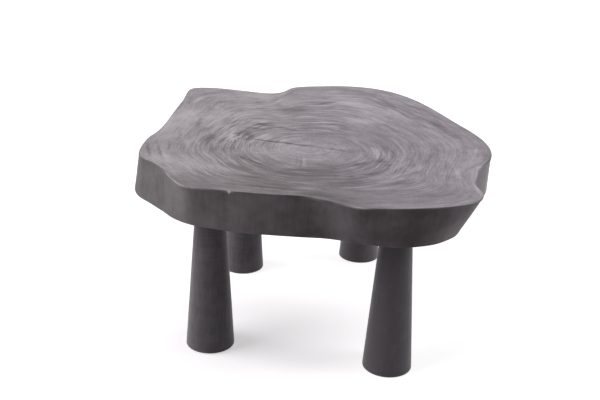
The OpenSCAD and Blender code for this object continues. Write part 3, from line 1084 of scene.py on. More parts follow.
    strokes: tuple[Patch, ...] = ovals(
        (4, -396, 26, 6, -14, -0.8), (76, -441, 40, 8, -28, -0.4), (-144, -202, 38, 5, -44, -0.9),
        (-134, -201, 18, 3, -44, 0.8), (-108, -184, 25, 5, -50, -0.3), (-163, -20, 9, 8, 0, -0.8),
        (-160, -52, 9, 7, 0, -0.7), (-195, -14, 6, 9, 0, -0.8), (-197, -55, 9, 24, 0, 0.7),
        (-124, -26, 24, 8, 58, 0.8), (-76, -50, 10, 6, 45, 0.6), (-240, -122, 5, 30, 8, -0.6),
        (-242, -58, 6, 26, 0, -0.4), (-352, -160, 3.4, 60, 14, -0.9), (-379, -155, 3.4, 55, 12, -0.9),
        (-336, -125, 3.2, 30, 6, -0.8), (-341, -180, 5, 30, 18, 0.5), (-277, -100, 4, 28, 0, 0.5),
        (-301, -92, 4, 26, 0, 0.4), (-321, -45, 4, 34, 4, -0.5), (-130, -147, 9, 6, 0, 0.5),
        (-33, -205, 2, 34, 0, -0.6), (-25, -200, 4, 32, 0, 0.4), (-41, -195, 2, 26, 0, -0.4),
        (-30, -250, 26, 7, 0, -1.0), (-25, -286, 34, 3, 0, -0.6), (-125, -308, 24, 9, -10, -0.6),
        (-25, -318, 26, 7, 0, -0.5), (-105, -362, 32, 4, -10, -1.0), (-58, -370, 26, 4, -8, -0.6),
        (-100, -373, 42, 3, -8, 0.6), (-12, -359, 22, 6, 0, 0.6), (-242, -325, 32, 4, -48, -0.6),
        (-248, -291, 30, 4, -42, -0.6), (-272, -240, 50, 14, -50, 0.3), (156, -126, 3, 22, -5, 0.4),
        (142, -140, 3, 16, -12, 0.45), (172, -115, 3, 14, 0, 0.35), (178, -146, 7, 10, 0, -0.4),
        (150, -177, 18, 6, 0, -0.6), (163, -200, 9, 7, 0, -0.6), (98, -200, 25, 5, 35, -0.8),
        (106, -183, 15, 4, 45, 0.6), (20, -217, 20, 9, 0, -0.7), (40, -238, 36, 8, 0, -0.3),
        (40, -279, 42, 5, -3, -0.7), (79, -281, 9, 5, 20, -0.8), (110, -264, 28, 4, 18, -0.8),
        (190, -256, 36, 4, 35, 0.5), (215, -248, 36, 6, 38, -0.5), (215, -220, 28, 7, 38, 0.4),
        (181, -313, 26, 6, 22, -0.6), (180, -291, 38, 4, 25, 0.4), (168, -357, 32, 4, 15, -0.5),
        (250, -378, 42, 5, 22, -0.4), (284, -275, 3, 32, -10, -0.5), (313, -245, 6, 60, 4, 0.5),
        (293, -185, 3, 40, -8, -0.5), (376, -75, 4, 24, -15, 0.6), (-312, 265, 38, 5, 71, 0.7),
        (-262, 242, 20, 6, 30, -0.5), (-222, 256, 28, 7, 6, -0.7), (-155, 286, 7, 7, 0, -0.6),
        (-138, 278, 8, 9, 0, -0.5), (-153, 260, 9, 6, 0, -0.7), (-101, 276, 28, 6, 62, 0.7),
        (-70, 360, 26, 6, 65, -0.5), (-86, 362, 30, 5, 62, 0.5), (-146, 203, 24, 6, 8, -0.6),
        (-130, 68, 30, 7, -25, -0.4), (-140, 28, 30, 7, -8, -0.4), (-287, 55, 5, 34, 0, -0.5),
        (-199, 81, 17, 4, 58, -0.9), (-192, 75, 17, 4, 58, 0.6), (-148, 117, 19, 7, 0, -0.4),
        (-40, 117, 30, 7, 8, -0.5), (10, 100, 32, 4, 5, 1.0), (22, 110, 36, 4, 3, -0.5),
        (25, 86, 30, 8, 5, -0.6), (28, 280, 24, 7, 40, -0.7), (44, 240, 16, 8, 20, -0.7),
        (32, 262, 32, 5, 28, 0.5), (90, 280, 24, 12, 0, 0.4), (85, 409, 22, 8, 0, -0.4),
        (130, 395, 34, 20, -20, -0.3), (175, 290, 50, 7, -58, -0.6), (178, 330, 36, 4, -62, -0.6),
        (205, 265, 24, 5, -60, -0.5), (187, 342, 13, 4, -75, -0.7), (228, 205, 50, 5, -65, -0.7),
        (258, 235, 50, 6, -57, -0.6), (266, 265, 34, 6, -52, -0.8), (308, 118, 24, 12, -60, -0.6),
        (314, 185, 30, 5, -62, -0.6), (285, 90, 28, 4, -55, -0.5), (190, 68, 42, 5, -65, -0.6),
        (160, 98, 16, 9, -60, -0.4), (80, 50, 32, 6, -35, -0.5), (345, 20, 18, 6, -60, -0.5),
        (-60, -75, 66, 3.2, -16, -0.9), (350, -192, 18, 4, 50, -0.5), (329, -222, 22, 4, 62, -0.5),
        (321, -256, 20, 4, 88, -0.45), (366, -196, 14, 7, 45, 0.4), (340, -331, 26, 3.5, -83, 1.1),
        (376, -178, 20, 3, 60, 1.0), (308, -402, 26, 3, 34, 0.6))
    # where the rings show more or less
    swing_patches: tuple[Patch, ...] = ovals(
        (-172, -35, 62, 62, 0, 0.75), (-100, -60, 90, 40, -16, 0.25), (-60, 40, 150, 66, 0, 0.45),
        (-60, -250, 170, 60, -4, 0.25), (20, 260, 60, 70, 0, 0.2), (156, -110, 40, 60, 10, 0.2),
        (165, 40, 70, 60, 0, -0.6), (-190, -190, 70, 40, 40, -0.15), (300, -310, 90, 90, 0, -0.3),
        (-350, -110, 50, 120, 0, -0.3), (-300, 300, 90, 80, 0, -0.25), (90, -280, 120, 50, 20, 0.25),
        (-110, 40, 90, 50, -10, 0.25), (240, 200, 30, 120, 28, 0.15), (60, 120, 40, 30, 0, -0.35),
        (-90, -412, 200, 24, -2, -0.5), (0, -85, 90, 50, 0, 0.12), (-300, -30, 34, 60, 0, 0.4),
        (-190, -300, 80, 24, -25, 0.2), (-120, 240, 130, 26, 0, 0.2), (0, 180, 80, 30, 0, 0.15),
        (205, -358, 60, 26, 10, 0.4), (250, -60, 120, 90, 0, -0.15))
    # the live edge's stain, with painted light and shade where its faces are lit or in shade, most on the
    # left end and the notch wall
    side_stain_and_painted_light: tuple[Patch, ...] = ovals(
        (-300, -330, 50, 50, 0, 0.42), (-372, -130, 60, 30, 90, 0.4), (-22, -406, 40, 20, 0, -0.46),
        (-368, -228, 44, 40, 90, 0.34), (-268, -366, 26, 26, 0, 0.3), (200, -442, 34, 26, 0, -0.3),
        (285, -395, 26, 34, 0, 0.35), (-170, -390, 90, 30, 0, 0.22), (58, -430, 22, 14, -30, 0.35),
        (115, -450, 60, 34, 0, -0.4), (240, -460, 50, 40, 0, -0.4), (320, -400, 40, 40, 0, 0.47),
        (350, -240, 40, 50, 0, 1.1))

    def build(self, nodes: dict[str, bpy.types.Object]) -> bpy.types.Object:
        """Builds the slab inside the CAD node's own outline.

        Args:
            nodes: The CAD nodes by name.

        Returns:
            The slab.
        """
        cad = nodes["slab_top"].data
        around = self.bearings_round()
        edge_top = self.outline(cad, self.top_z - self.top_ease, around)
        edge_under = self.outline(cad, self.under_z + self.under_ease, around)
        draft = Draft()
        top = self.top_face(draft, around, edge_top)
        flat = len(draft.all_points())
        self.underside(draft, self.side(draft, edge_top, edge_under, top))
        low, high = (np.array(corner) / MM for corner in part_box("slab_top"))
        draft.points = [np.clip(draft.all_points(), low, high)]
        values = self.carried(draft.all_points(), flat, self.outline_about_heart(edge_top))
        finishes = {Face.TOP: BrushedEndGrain(), Face.SIDE: StainedLiveEdge(),
                    Face.UNDERSIDE: SandedUnderside(), Face.RECESS: RoutedRecess()}
        return draft.stand_for("slab_top", "slab", [finishes[face].material() for face in Face],
                               values, WOOD_SHARP_DEG)

    def bearings_round(self) -> np.ndarray:
        """Bearings of the mesh's spokes, which crowd along the first check and at the knocks.

        Returns:
            Turns from the first check's direction, in radians, rising from minus half a turn.
        """
        count = 4 * self.bearings
        even = (np.arange(count) + 0.5) / count * FULL_TURN - math.pi
        middle = np.mean(self.chips, axis=0)[:2] - self.check_end
        chip_turn = half_turned(math.atan2(middle[1], middle[0]) - math.radians(self.check_turn_deg))
        dense = 1.0
        for turn, (more, half) in ((0.0, self.check_crowd), (chip_turn, self.chip_crowd)):
            dense = dense + more * bell(even - turn, half)
        share = np.concatenate([[0], np.cumsum(dense)]) / dense.sum()
        turns = np.interp(np.arange(self.bearings) / self.bearings, share,
                          np.linspace(-math.pi, math.pi, len(share)))
        return turns - turns[np.abs(turns).argmin()]

    def outline(self, mesh: bpy.types.Mesh, level: float, around: np.ndarray) -> np.ndarray:
        """The CAD outline at one height, drawn smooth through its points.

        Args:
            mesh: The CAD slab's mesh.
            level: The height.
            around: The spokes' turns from the first check's direction.

        Returns:
            One point in plan for each spoke.
        """
        flat = np.empty(len(mesh.vertices) * 3, np.float32)
        mesh.vertices.foreach_get("co", flat)
        points = flat.reshape(-1, 3) / MM
        ring = points[np.abs(points[:, 2] - level) < 0.05, :2].astype(float)
        ring = ring[np.hypot(*ring.T) > self.bore_reach]
        ring = np.unique(np.round(ring, 2), axis=0)
        spokes = around + math.radians(self.check_turn_deg)
        return self.check_end + reach_of(ring - self.check_end)(spokes)[:, None] * toward(spokes)

    def outline_about_heart(self, edge: np.ndarray) -> Callable[[np.ndarray], np.ndarray]:
        """The distance from the heart to the outline, by bearing.

        Args:
            edge: Points of the outline in plan.

        Returns:
            A function from bearings to distances.
        """
        even = np.linspace(-math.pi, math.pi, self.bearings + 1)[:-1]
        far = reach_of(edge - self.heart)(even)
        for _ in range(self.corner_passes):
            far = (np.roll(far, 1) + 2 * far + np.roll(far, -1)) / 4
        return lambda turns: closed_curve(even, far, turns)

    def growth(self, plan: np.ndarray, reach: Callable[[np.ndarray], np.ndarray]) -> np.ndarray:
        """How far out each point grew: round rings in the middle, the live edge's own shape outside.

        Args:
            plan: Points in plan.
            reach: Distance from the heart to the live edge by bearing.

        Returns:
            The growth at each point, in millimetres of an average radius.
        """
        away = plan - self.heart
        radius = np.hypot(*away.T)
        edge = reach(np.arctan2(away[:, 1], away[:, 0]))
        mean = float(reach(np.linspace(-math.pi, math.pi, 361)[:-1]).mean())
        low, high = np.zeros(len(plan)), np.full(len(plan), self.furthest * mean)
        for _ in range(self.halvings):
            years = (low + high) / 2
            free = smooth_step(years, self.round_years, mean)
            outside = years * (1 - free + free * edge / mean) > radius
            high = np.where(outside, years, high)
            low = np.where(outside, low, years)
        years = (low + high) / 2 + summed(self.wobble, plan) * smooth_step(radius, 0, self.wobble_radius)
        for x, y, size, strength in self.knots:
            swells = (Swell(share * size, strength / 2, seed) for share, seed in self.knot_noises)
            years += summed(swells, plan) * bell(np.hypot(*(plan - (x, y)).T), size)
        return years

    def carried(self, points: np.ndarray, flat: int,
                reach: Callable[[np.ndarray], np.ndarray]) -> dict[str, np.ndarray]:
        """What each point carries for the finishes.

        Args:
            points: All points of the slab.
            flat: How many of them, from the first, lie in the top face.
            reach: Distance from the heart to the live edge by bearing.

        Returns:
            Attributes by name.
        """
        plan, height = points[:, :2], points[:, 2]
        years = self.growth(plan, reach)
        depth = self.top_z - height
        on_top = depth < self.top_ease
        ragged = plan + np.column_stack([swell.at(plan) for swell in self.fray])
        year_tone = self.year_tone.at(np.column_stack([years, plan]))
        tone = np.where(on_top, summed(self.patches + self.strokes, ragged) + year_tone,
                        summed(self.side_stain_and_painted_light, plan))
        arris = bell(depth - self.arris_drop, self.arris_half) * (np.arange(len(points)) >= flat)
        rubbed = smooth_step(summed(self.rub, plan), *self.rub_levels)
        # painted highlights: the arris patches are partly rubbed wood and partly painted highlight, and the
        # notch's lips are painted highlight
        bright = arris * summed(self.rubbed, plan) + ~on_top * summed(self.painted_highlight_lips, plan)
        chip = (1 - smooth_step(self.from_chips(plan), *self.chip_fade)) * (depth < self.chip_low)
        away = plan - self.heart
        inner, outer = self.heart_marks
        return {"grain": np.column_stack([years, plan]), "tone": tone, "swing": self.swing(plan, years),
                "wear": np.clip(arris * rubbed * self.rub_weight + bright, 0, 1),
                "aged": smooth_step(-plan[:, 0], *self.yellowing),
                "core": inner + (outer - inner) * smooth_step(years, *self.heart_years),
                "check": smooth_step(depth, *self.check_painted_shade) * self.in_check(plan),
                "chip": chip + (1 - chip) * arris * summed(self.bared_and_highlit, plan),
                "rays": np.column_stack([away / np.maximum(np.hypot(*away.T), 1.0)[:, None], years])}

    def swing(self, plan: np.ndarray, years: np.ndarray) -> np.ndarray:
        """How strongly the rings show at each point.

        Args:
            plan: Points in plan.
            years: Their growth.

        Returns:
            The strength, 1 being plain.
        """
        heart, full, bark = self.swing_levels
        rise, fall = smooth_step(years, *self.swing_rise), smooth_step(years, *self.swing_fall)
        swing = (heart + (full - heart) * rise) * (1 - (1 - bark / full) * fall)
        return np.clip(swing + summed(self.swing_patches, plan), *self.swing_limits)

    def from_chips(self, plan: np.ndarray) -> np.ndarray:
        """How far each point in plan is from the nearest knock on the arris, as a share of its size."""
        return np.min([np.hypot(plan[:, 0] - x, plan[:, 1] - y) / size for x, y, size in self.chips], axis=0)

    def in_check(self, plan: np.ndarray) -> np.ndarray:
        """Tells which points are near the drying checks.

        Args:
            plan: Points in plan.

        Returns:
            1 near them and 0 elsewhere.
        """
        turn = math.radians(self.check_turn_deg)
        away = plan - self.check_end
        half_long, half_wide = self.check_zone
        along, across = away @ toward(turn), away @ toward(turn + QUARTER_TURN)
        return ((np.abs(along) < half_long) & (np.abs(across) < half_wide)).astype(float)

    def top_face(self, draft: Draft, around: np.ndarray, edge: np.ndarray) -> np.ndarray:
        """Lays the top face: spokes from the point where the checks close, with both checks and the relief.

        Args:
            draft: The slab's draft.
            around: The spokes' turns from the first check's direction.
            edge: The outline where the top arris begins to turn down.

        Returns:
            Numbers of the outermost ring's points.
        """
        inset = edge - self.top_ease * outward(edge) - self.check_end
        own = math.radians(self.check_turn_deg)
        radius = (np.arange(1, self.top_rings + 1) / self.top_rings)[:, None] * np.hypot(*inset.T)
        bearing = np.unwrap(np.arctan2(inset[:, 1], inset[:, 0]))
        turns = np.broadcast_to(bearing - own, radius.shape).copy()
        turns -= turns[:, [np.abs(turns[-1]).argmin()]]
        spoke = np.arange(len(around)) - int(np.abs(around).argmin())
        for check in self.checks:
            check.open(turns, radius, spoke)
        bend = self.check_bend * np.sin(np.clip(radius / self.checks[0].end, 0, 1) * math.pi)
        turns += bend / radius * bell(turns, self.bend_half)
        plan = self.check_end + radius[..., None] * toward(turns + own)
        height = self.top_z - self.top_relief(plan.reshape(-1, 2)).reshape(radius.shape)
        for check in self.checks:
            height -= check.profile(radius, spoke)
        height[-1] = self.top_z - self.rim_depth
        rings = np.concatenate([plan, height[..., None]], -1)
        numbers = draft.add_rings(rings[::-1], Face.TOP)[::-1]
        draft.add_fan(numbers[0], (*self.check_end, self.top_z - self.end_depth), Face.TOP)
        return numbers[-1]

    def top_relief(self, plan: np.ndarray) -> np.ndarray:
        """How far the brushed top lies below the CAD's flat face.

        Args:
            plan: Points in plan.

        Returns:
            Depths in millimetres.
        """
        away = np.hypot(*(plan - self.heart).T)
        swell = summed(self.top_swells, np.column_stack([away, plan]))
        dents = smooth_step(self.top_dents.at(plan), *self.dent_levels)
        return self.top_depth + swell + self.dent_depth * dents

    def side(self, draft: Draft, edge_top: np.ndarray, edge_under: np.ndarray, top: np.ndarray) -> np.ndarray:
        """Lays the arrises and the live edge between them.

        Args:
            draft: The slab's draft.
            edge_top: The outline under the top arris.
            edge_under: The outline over the bottom arris.
            top: Numbers of the top face's outermost points.

        Returns:
            Numbers of the last ring, where the underside begins.
        """
        away_top, away_under = outward(edge_top), outward(edge_under)
        high, low = self.top_z - self.top_ease, self.under_z + self.under_ease
        rings = [(edge_top - inset * away_top, self.top_z - rise)
                 for inset, rise in eased(self.top_ease, EASE_RINGS)]
        rings += [(edge_top * (1 - share) + edge_under * share, high + (low - high) * share)
                  for share in np.linspace(0, 1, self.side_rings + 1)[1:]]
        rings += [(edge_under - inset * away_under, self.under_z + rise)
                  for inset, rise in eased(self.under_ease, EASE_RINGS)[-2::-1]]
        skin = np.stack([np.column_stack([ring, np.full(len(ring), level)]) for ring, level in rings])
        away = away_top + (away_under - away_top) * np.clip((high - skin[..., 2:3]) / (high - low), 0, 1)
        depth = self.side_relief(skin.reshape(-1, 3)).reshape(skin.shape[:2])
        depth *= smooth_step(self.top_z - skin[..., 2], 0, self.side_fades[0])
        depth *= smooth_step(skin[..., 2] - self.under_z, 0, self.side_fades[1])
        skin[..., :2] -= depth[..., None] * away
        return draft.add_rings(skin, Face.SIDE, top, down=True)[-1]

    def side_relief(self, points: np.ndarray) -> np.ndarray:
        """How far the live edge lies inside the CAD's smooth one.

        Args:
            points: Points of the side.

        Returns:
            Depths in millimetres.
        """
        chip = self.chip_depth * bell(self.from_chips(points[:, :2]), 1.0)
        near_top = bell(self.top_z - points[:, 2], self.nibble_half)
        return (self.side_depth + summed(self.side_swells, points)
                + near_top * (np.maximum(self.nibbles.at(points), 0) + chip))

    def underside(self, draft: Draft, rim: np.ndarray) -> None:
        """Lays the flat underside, with a routed recess over each leg.

        Args:
            draft: The slab's draft.
            rim: Numbers of the points where the underside begins.
        """
        border = draft.all_points()[rim][:, :2]
        reach = reach_of(border)
        circles = [moved(turned(self.recess, self.recess_points), leg.axis) for leg in Leg]
        radius = self.recess[0][0]
        spread = np.arange(-self.grid_half, self.grid_half + 1, self.grid_step)
        grid = np.stack(np.meshgrid(spread, spread), -1).reshape(-1, 2)
        grid = grid + np.column_stack([swell.at(grid) for swell in self.grid_swells])
        clear = np.hypot(*grid.T) < reach(np.arctan2(grid[:, 1], grid[:, 0])) - self.border_clear
        for leg in Leg:
            clear &= np.hypot(*(grid - leg.axis).T) > radius + self.recess_clear
        loops = [border, *[circle[0, :, :2] for circle in circles]]
        flat = np.vstack([*loops, grid[clear]])
        corners = np.array(triangles(loops, grid[clear]))
        centres = flat[corners].mean(1)
        kept = np.hypot(*centres.T) < reach(np.arctan2(centres[:, 1], centres[:, 0]))
        kept |= (corners >= len(border)).any(1)
        for leg in Leg:
            kept &= np.hypot(*(centres - leg.axis).T) > radius * 0.999      # just inside the rim
        new = draft.add_points(np.column_stack([flat, np.full(len(flat), self.under_z)])[len(border):])
        draft.add_faces(np.concatenate([rim, new])[corners[kept][:, ::-1]].tolist(), Face.UNDERSIDE)
        for first, rings in zip(new[:len(Leg) * self.recess_points].reshape(len(Leg), -1), circles):
            ring = draft.add_rings(rings[:, ::-1], Face.RECESS, first[::-1])[-1]
            draft.add_fan(ring[::-1], (*rings[-1, :, :2].mean(0), rings[-1, 0, 2]), Face.RECESS, up=False)


@dataclass
class TurnedLeg:
    """A leg turned from one billet, with the bore for its bolt and the recess for its glide."""

    place: Leg
    low: float = 2.0
    high: float = 358.0
    foot: float = 113.0
    top: float = 67.0
    foot_ease: float = 1.8
    top_ease: float = 1.5
    bore: float = 12.2
    bore_bottom: float = 297.0
    glide: float = 60.2
    glide_top: float = 6.0
    pilot: float = 4.2
    pilot_top: float = 27.0
    count: int = 128
    body_rings: int = 96
    relief: float = 0.22        # mean depth of the turned face inside the CAD's smooth one
    dent_depth: float = 0.35
    first_seed: int = 70        # of the noises, one more for each leg
    wear_weight: float = 0.8

    def outer_radius(self, height: float) -> float:
        """The straight taper from foot to top."""
        share = (height - self.low) / (self.high - self.low)
        return (self.foot + (self.top - self.foot) * share) / 2

    def profile(self) -> tuple[np.ndarray, np.ndarray]:
        """The leg's profile from the pilot hole out, up the outside and down the bore.

        Returns:
            Radius and height of each ring, and 1 for the rings of the outer face.
        """
        start, end = self.low + self.foot_ease, self.high - self.top_ease
        inner = [(self.pilot / 2, self.pilot_top), (self.pilot / 2, self.glide_top),
                 (self.glide / 2, self.glide_top), (self.glide / 2, self.low)]
        outer = [(self.outer_radius(start) - inset, self.low + rise)
                 for inset, rise in eased(self.foot_ease, EASE_RINGS)]
        outer += [(self.outer_radius(at), at) for at in np.linspace(start, end, self.body_rings + 2)[1:-1]]
        outer += [(self.outer_radius(end) - inset, self.high - rise)
                  for inset, rise in eased(self.top_ease, EASE_RINGS)[::-1]]
        bore = [(self.bore / 2, self.high), (self.bore / 2, self.bore_bottom)]
        face = np.repeat([0.0, 1.0, 0.0], [len(inner), len(outer), len(bore)])
        return np.array(inner + outer + bore), face

    def build(self, finish: bpy.types.Material) -> bpy.types.Object:
        """Turns the leg.

        Args:
            finish: Its material.

        Returns:
            The leg.
        """
        line, face = self.profile()
        rings = turned(line, self.count)
        flat = rings.reshape(-1, 3)
        seed = self.first_seed + list(Leg).index(self.place)
        turning, grain = Swell((60.0, 60.0, 5.0), 0.07, seed), Swell((5.0, 5.0, 70.0), 0.10, seed + 10)
        dents = self.dent_depth * smooth_step(Swell((11.0, 11.0, 14.0), 1.0, seed + 20).at(flat), 0.7, 0.95)
        depth = (self.relief + summed((turning, grain), flat) + dents) * np.repeat(face, self.count)
        ends = smooth_step(flat[:, 2] - self.low, 0, 2) * smooth_step(self.high - flat[:, 2], 0, 1)
        axis = self.place.axis
        draft = Draft()
        numbers = draft.add_rings(moved(pulled_in(rings, depth * ends), axis))
        draft.add_fan(numbers[0], (*axis, self.pilot_top), up=False)
        draft.add_fan(numbers[-1], (*axis, self.bore_bottom))
        points = draft.all_points()
        ends = bell(points[:, 2] - self.low - 1.5, 3.0) + bell(points[:, 2] - self.high, 1.2)
        rubbed = smooth_step(Swell(16.0, 1.0, seed + 30).at(points), -0.1, 0.6)
        # each leg's tone is its painted light and shade
        values = {"wear": ends * rubbed * self.wear_weight,
                  "tone": np.full(len(points), LEG_PAINTED_LIGHT.get(self.place, 0.0))}
        node = "leg_" + self.place.label
        return draft.stand_for(node, "turned_" + node, [finish], values, WOOD_SHARP_DEG)


@dataclass(frozen=True)
class Thread:
    """A screw thread cut on part of a shank.

    Args:
        start: Height where it starts.
        end: Height where it ends.
        pitch: Rise of one turn.
        depth: Depth of the groove.
        crest: Share of the pitch that the crest takes.
        root: Share of the pitch that the bottom of the groove takes.
    """

    start: float
    end: float
    pitch: float
    depth: float
    crest: float
    root: float = 0.08

    def groove(self, points: np.ndarray) -> np.ndarray:
        """How deep the groove is at points of the shank.

        Args:
            points: Points about the shank's axis.

        Returns:
            Depths in millimetres.
        """
        turn = np.arctan2(points[:, 1], points[:, 0]) / FULL_TURN
        phase = ((points[:, 2] - self.start) / self.pitch - turn) % 1
        slope = np.clip((np.abs(phase - 0.5) * 2 - self.root) / (1 - self.crest - self.root), 0, 1)
        runs_out = smooth_step(points[:, 2] - self.start, 0, self.pitch)
        runs_in = smooth_step(self.end - points[:, 2], 0, self.pitch)
        return self.depth * (1 - slope) * runs_out * runs_in


def threaded(profile: Sequence[tuple[float, float]], threads: Sequence[Thread], count: int,
             step: float) -> np.ndarray:
    """Rings of a turned shank with threads cut in it.

    Args:
        profile: Radius and height of the plain shank's corners, from bottom to top.
        threads: The threads.
        count: Points in a ring.
        step: Height between rings where a thread is cut.

    Returns:
        Array of ring, point in ring, coordinate.
    """
    line = np.asarray(profile, float)
    heights = [line[:, 1], *[np.arange(thread.start, thread.end, step) for thread in threads]]
    levels = np.unique(np.round(np.concatenate(heights), 4))
    rings = turned(np.column_stack([np.interp(levels, line[:, 1], line[:, 0]), levels]), count)
    depth = sum(thread.groove(rings.reshape(-1, 3)) for thread in threads)
    return pulled_in(rings, depth, 0.6)


@dataclass
class HangerBolt:
    """The bolt in the top of a leg: wood thread down, machine thread up."""

    place: Leg
    bottom: float = 298.0
    top: float = 384.0
    middle: float = 358.0
    radius: float = 6.0
    point: float = 9.0
    tip: float = 2.0
    chamfer: float = 1.0
    wood_pitch: float = 4.5
    plain: float = 8.0          # length under the middle that has no thread
    count: int = 32             # points in a ring
    step: float = 0.35          # height between rings of a thread

    def build(self, finish: bpy.types.Material) -> bpy.types.Object:
        """Makes the bolt.

        Args:
            finish: Its material.

        Returns:
            The bolt.
        """
        corners = [(self.tip, self.bottom), (self.radius, self.bottom + self.point),
                   (self.radius, self.top - self.chamfer), (self.radius - self.chamfer, self.top)]
        threads = (
            Thread(self.bottom + 1, self.middle - self.plain, self.wood_pitch, depth=1.3, crest=0.12),
            Thread(self.middle + 1, self.top - 0.2, M12_PITCH, depth=0.95, crest=0.2))
        axis = self.place.axis
        draft = Draft()
        numbers = draft.add_rings(moved(threaded(corners, threads, self.count, self.step), axis))
        draft.add_fan(numbers[0], (*axis, self.bottom), up=False)
        draft.add_fan(numbers[-1], (*axis, self.top))
        node = "hanger_bolt_" + self.place.label
        return draft.stand_for(node, "threaded_" + node, [finish])


@dataclass
class WoodScrew:
    """A countersunk wood screw standing on its head, point up, with a cross recess."""

    shank: float = 4.5
    head: float = 9.0
    length: float = 30.0
    point: float = 6.0
    tip: float = 1.0
    pitch: float = 2.0
    edge: float = 0.15          # the head's rim is broken by this much
    start: float = 4.0          # how far over the head the thread begins
    cross_rings: int = 12       # of the mesh in the recess
    count: int = 20             # points in a ring
    step: float = 0.4           # height between rings of the thread

    def lay(self, draft: Draft, axis: np.ndarray, seat: float) -> None:
        """Adds the screw to a draft.

        Args:
            draft: The draft.
            axis: Its axis in plan.
            seat: Height of the head's face.
        """
        neck, top = seat + (self.head - self.shank) / 2, seat + self.length
        corners = [(self.head / 2 - self.edge, seat), (self.head / 2, seat + self.edge),
                   (self.shank / 2, neck + self.edge), (self.shank / 2, top - self.point),
                   (self.tip / 2, top)]
        thread = Thread(neck + self.start, top - 0.5, self.pitch, depth=self.shank * 0.16, crest=0.14)
        numbers = draft.add_rings(moved(threaded(corners, (thread,), self.count, self.step), axis))
        draft.add_fan(numbers[-1], (*axis, top))
        self.recess(draft, axis, seat, numbers[0])

    def recess(self, draft: Draft, axis: np.ndarray, seat: float, rim: np.ndarray) -> None:
        """Cuts the cross recess in the head's face.

        Args:
            draft: The draft.
            axis: The screw's axis in plan.
            seat: Height of the head's face.
            rim: Numbers of the points round the face.
        """
        face = self.head / 2 - self.edge
        shares = np.linspace(1, 0.08, self.cross_rings)
        rings = turned([(share * face, seat) for share in shares], len(rim))
        half_wide, half_long, depth = self.head * 0.065, self.head * 0.29, self.head * 0.22
        for rising, other in ((0, 1), (1, 0)):
            across, along = half_wide - np.abs(rings[..., rising]), half_long - np.abs(rings[..., other])
            inside = smooth_step(across, -0.25, 0.1) * smooth_step(along, -0.4, 0.2)
            rings[..., 2] = np.maximum(rings[..., 2], seat + inside * depth)
        numbers = draft.add_rings(moved(rings, axis), first=rim, down=True)
        draft.add_fan(numbers[-1], (*axis, float(rings[-1, :, 2].mean())), up=False)


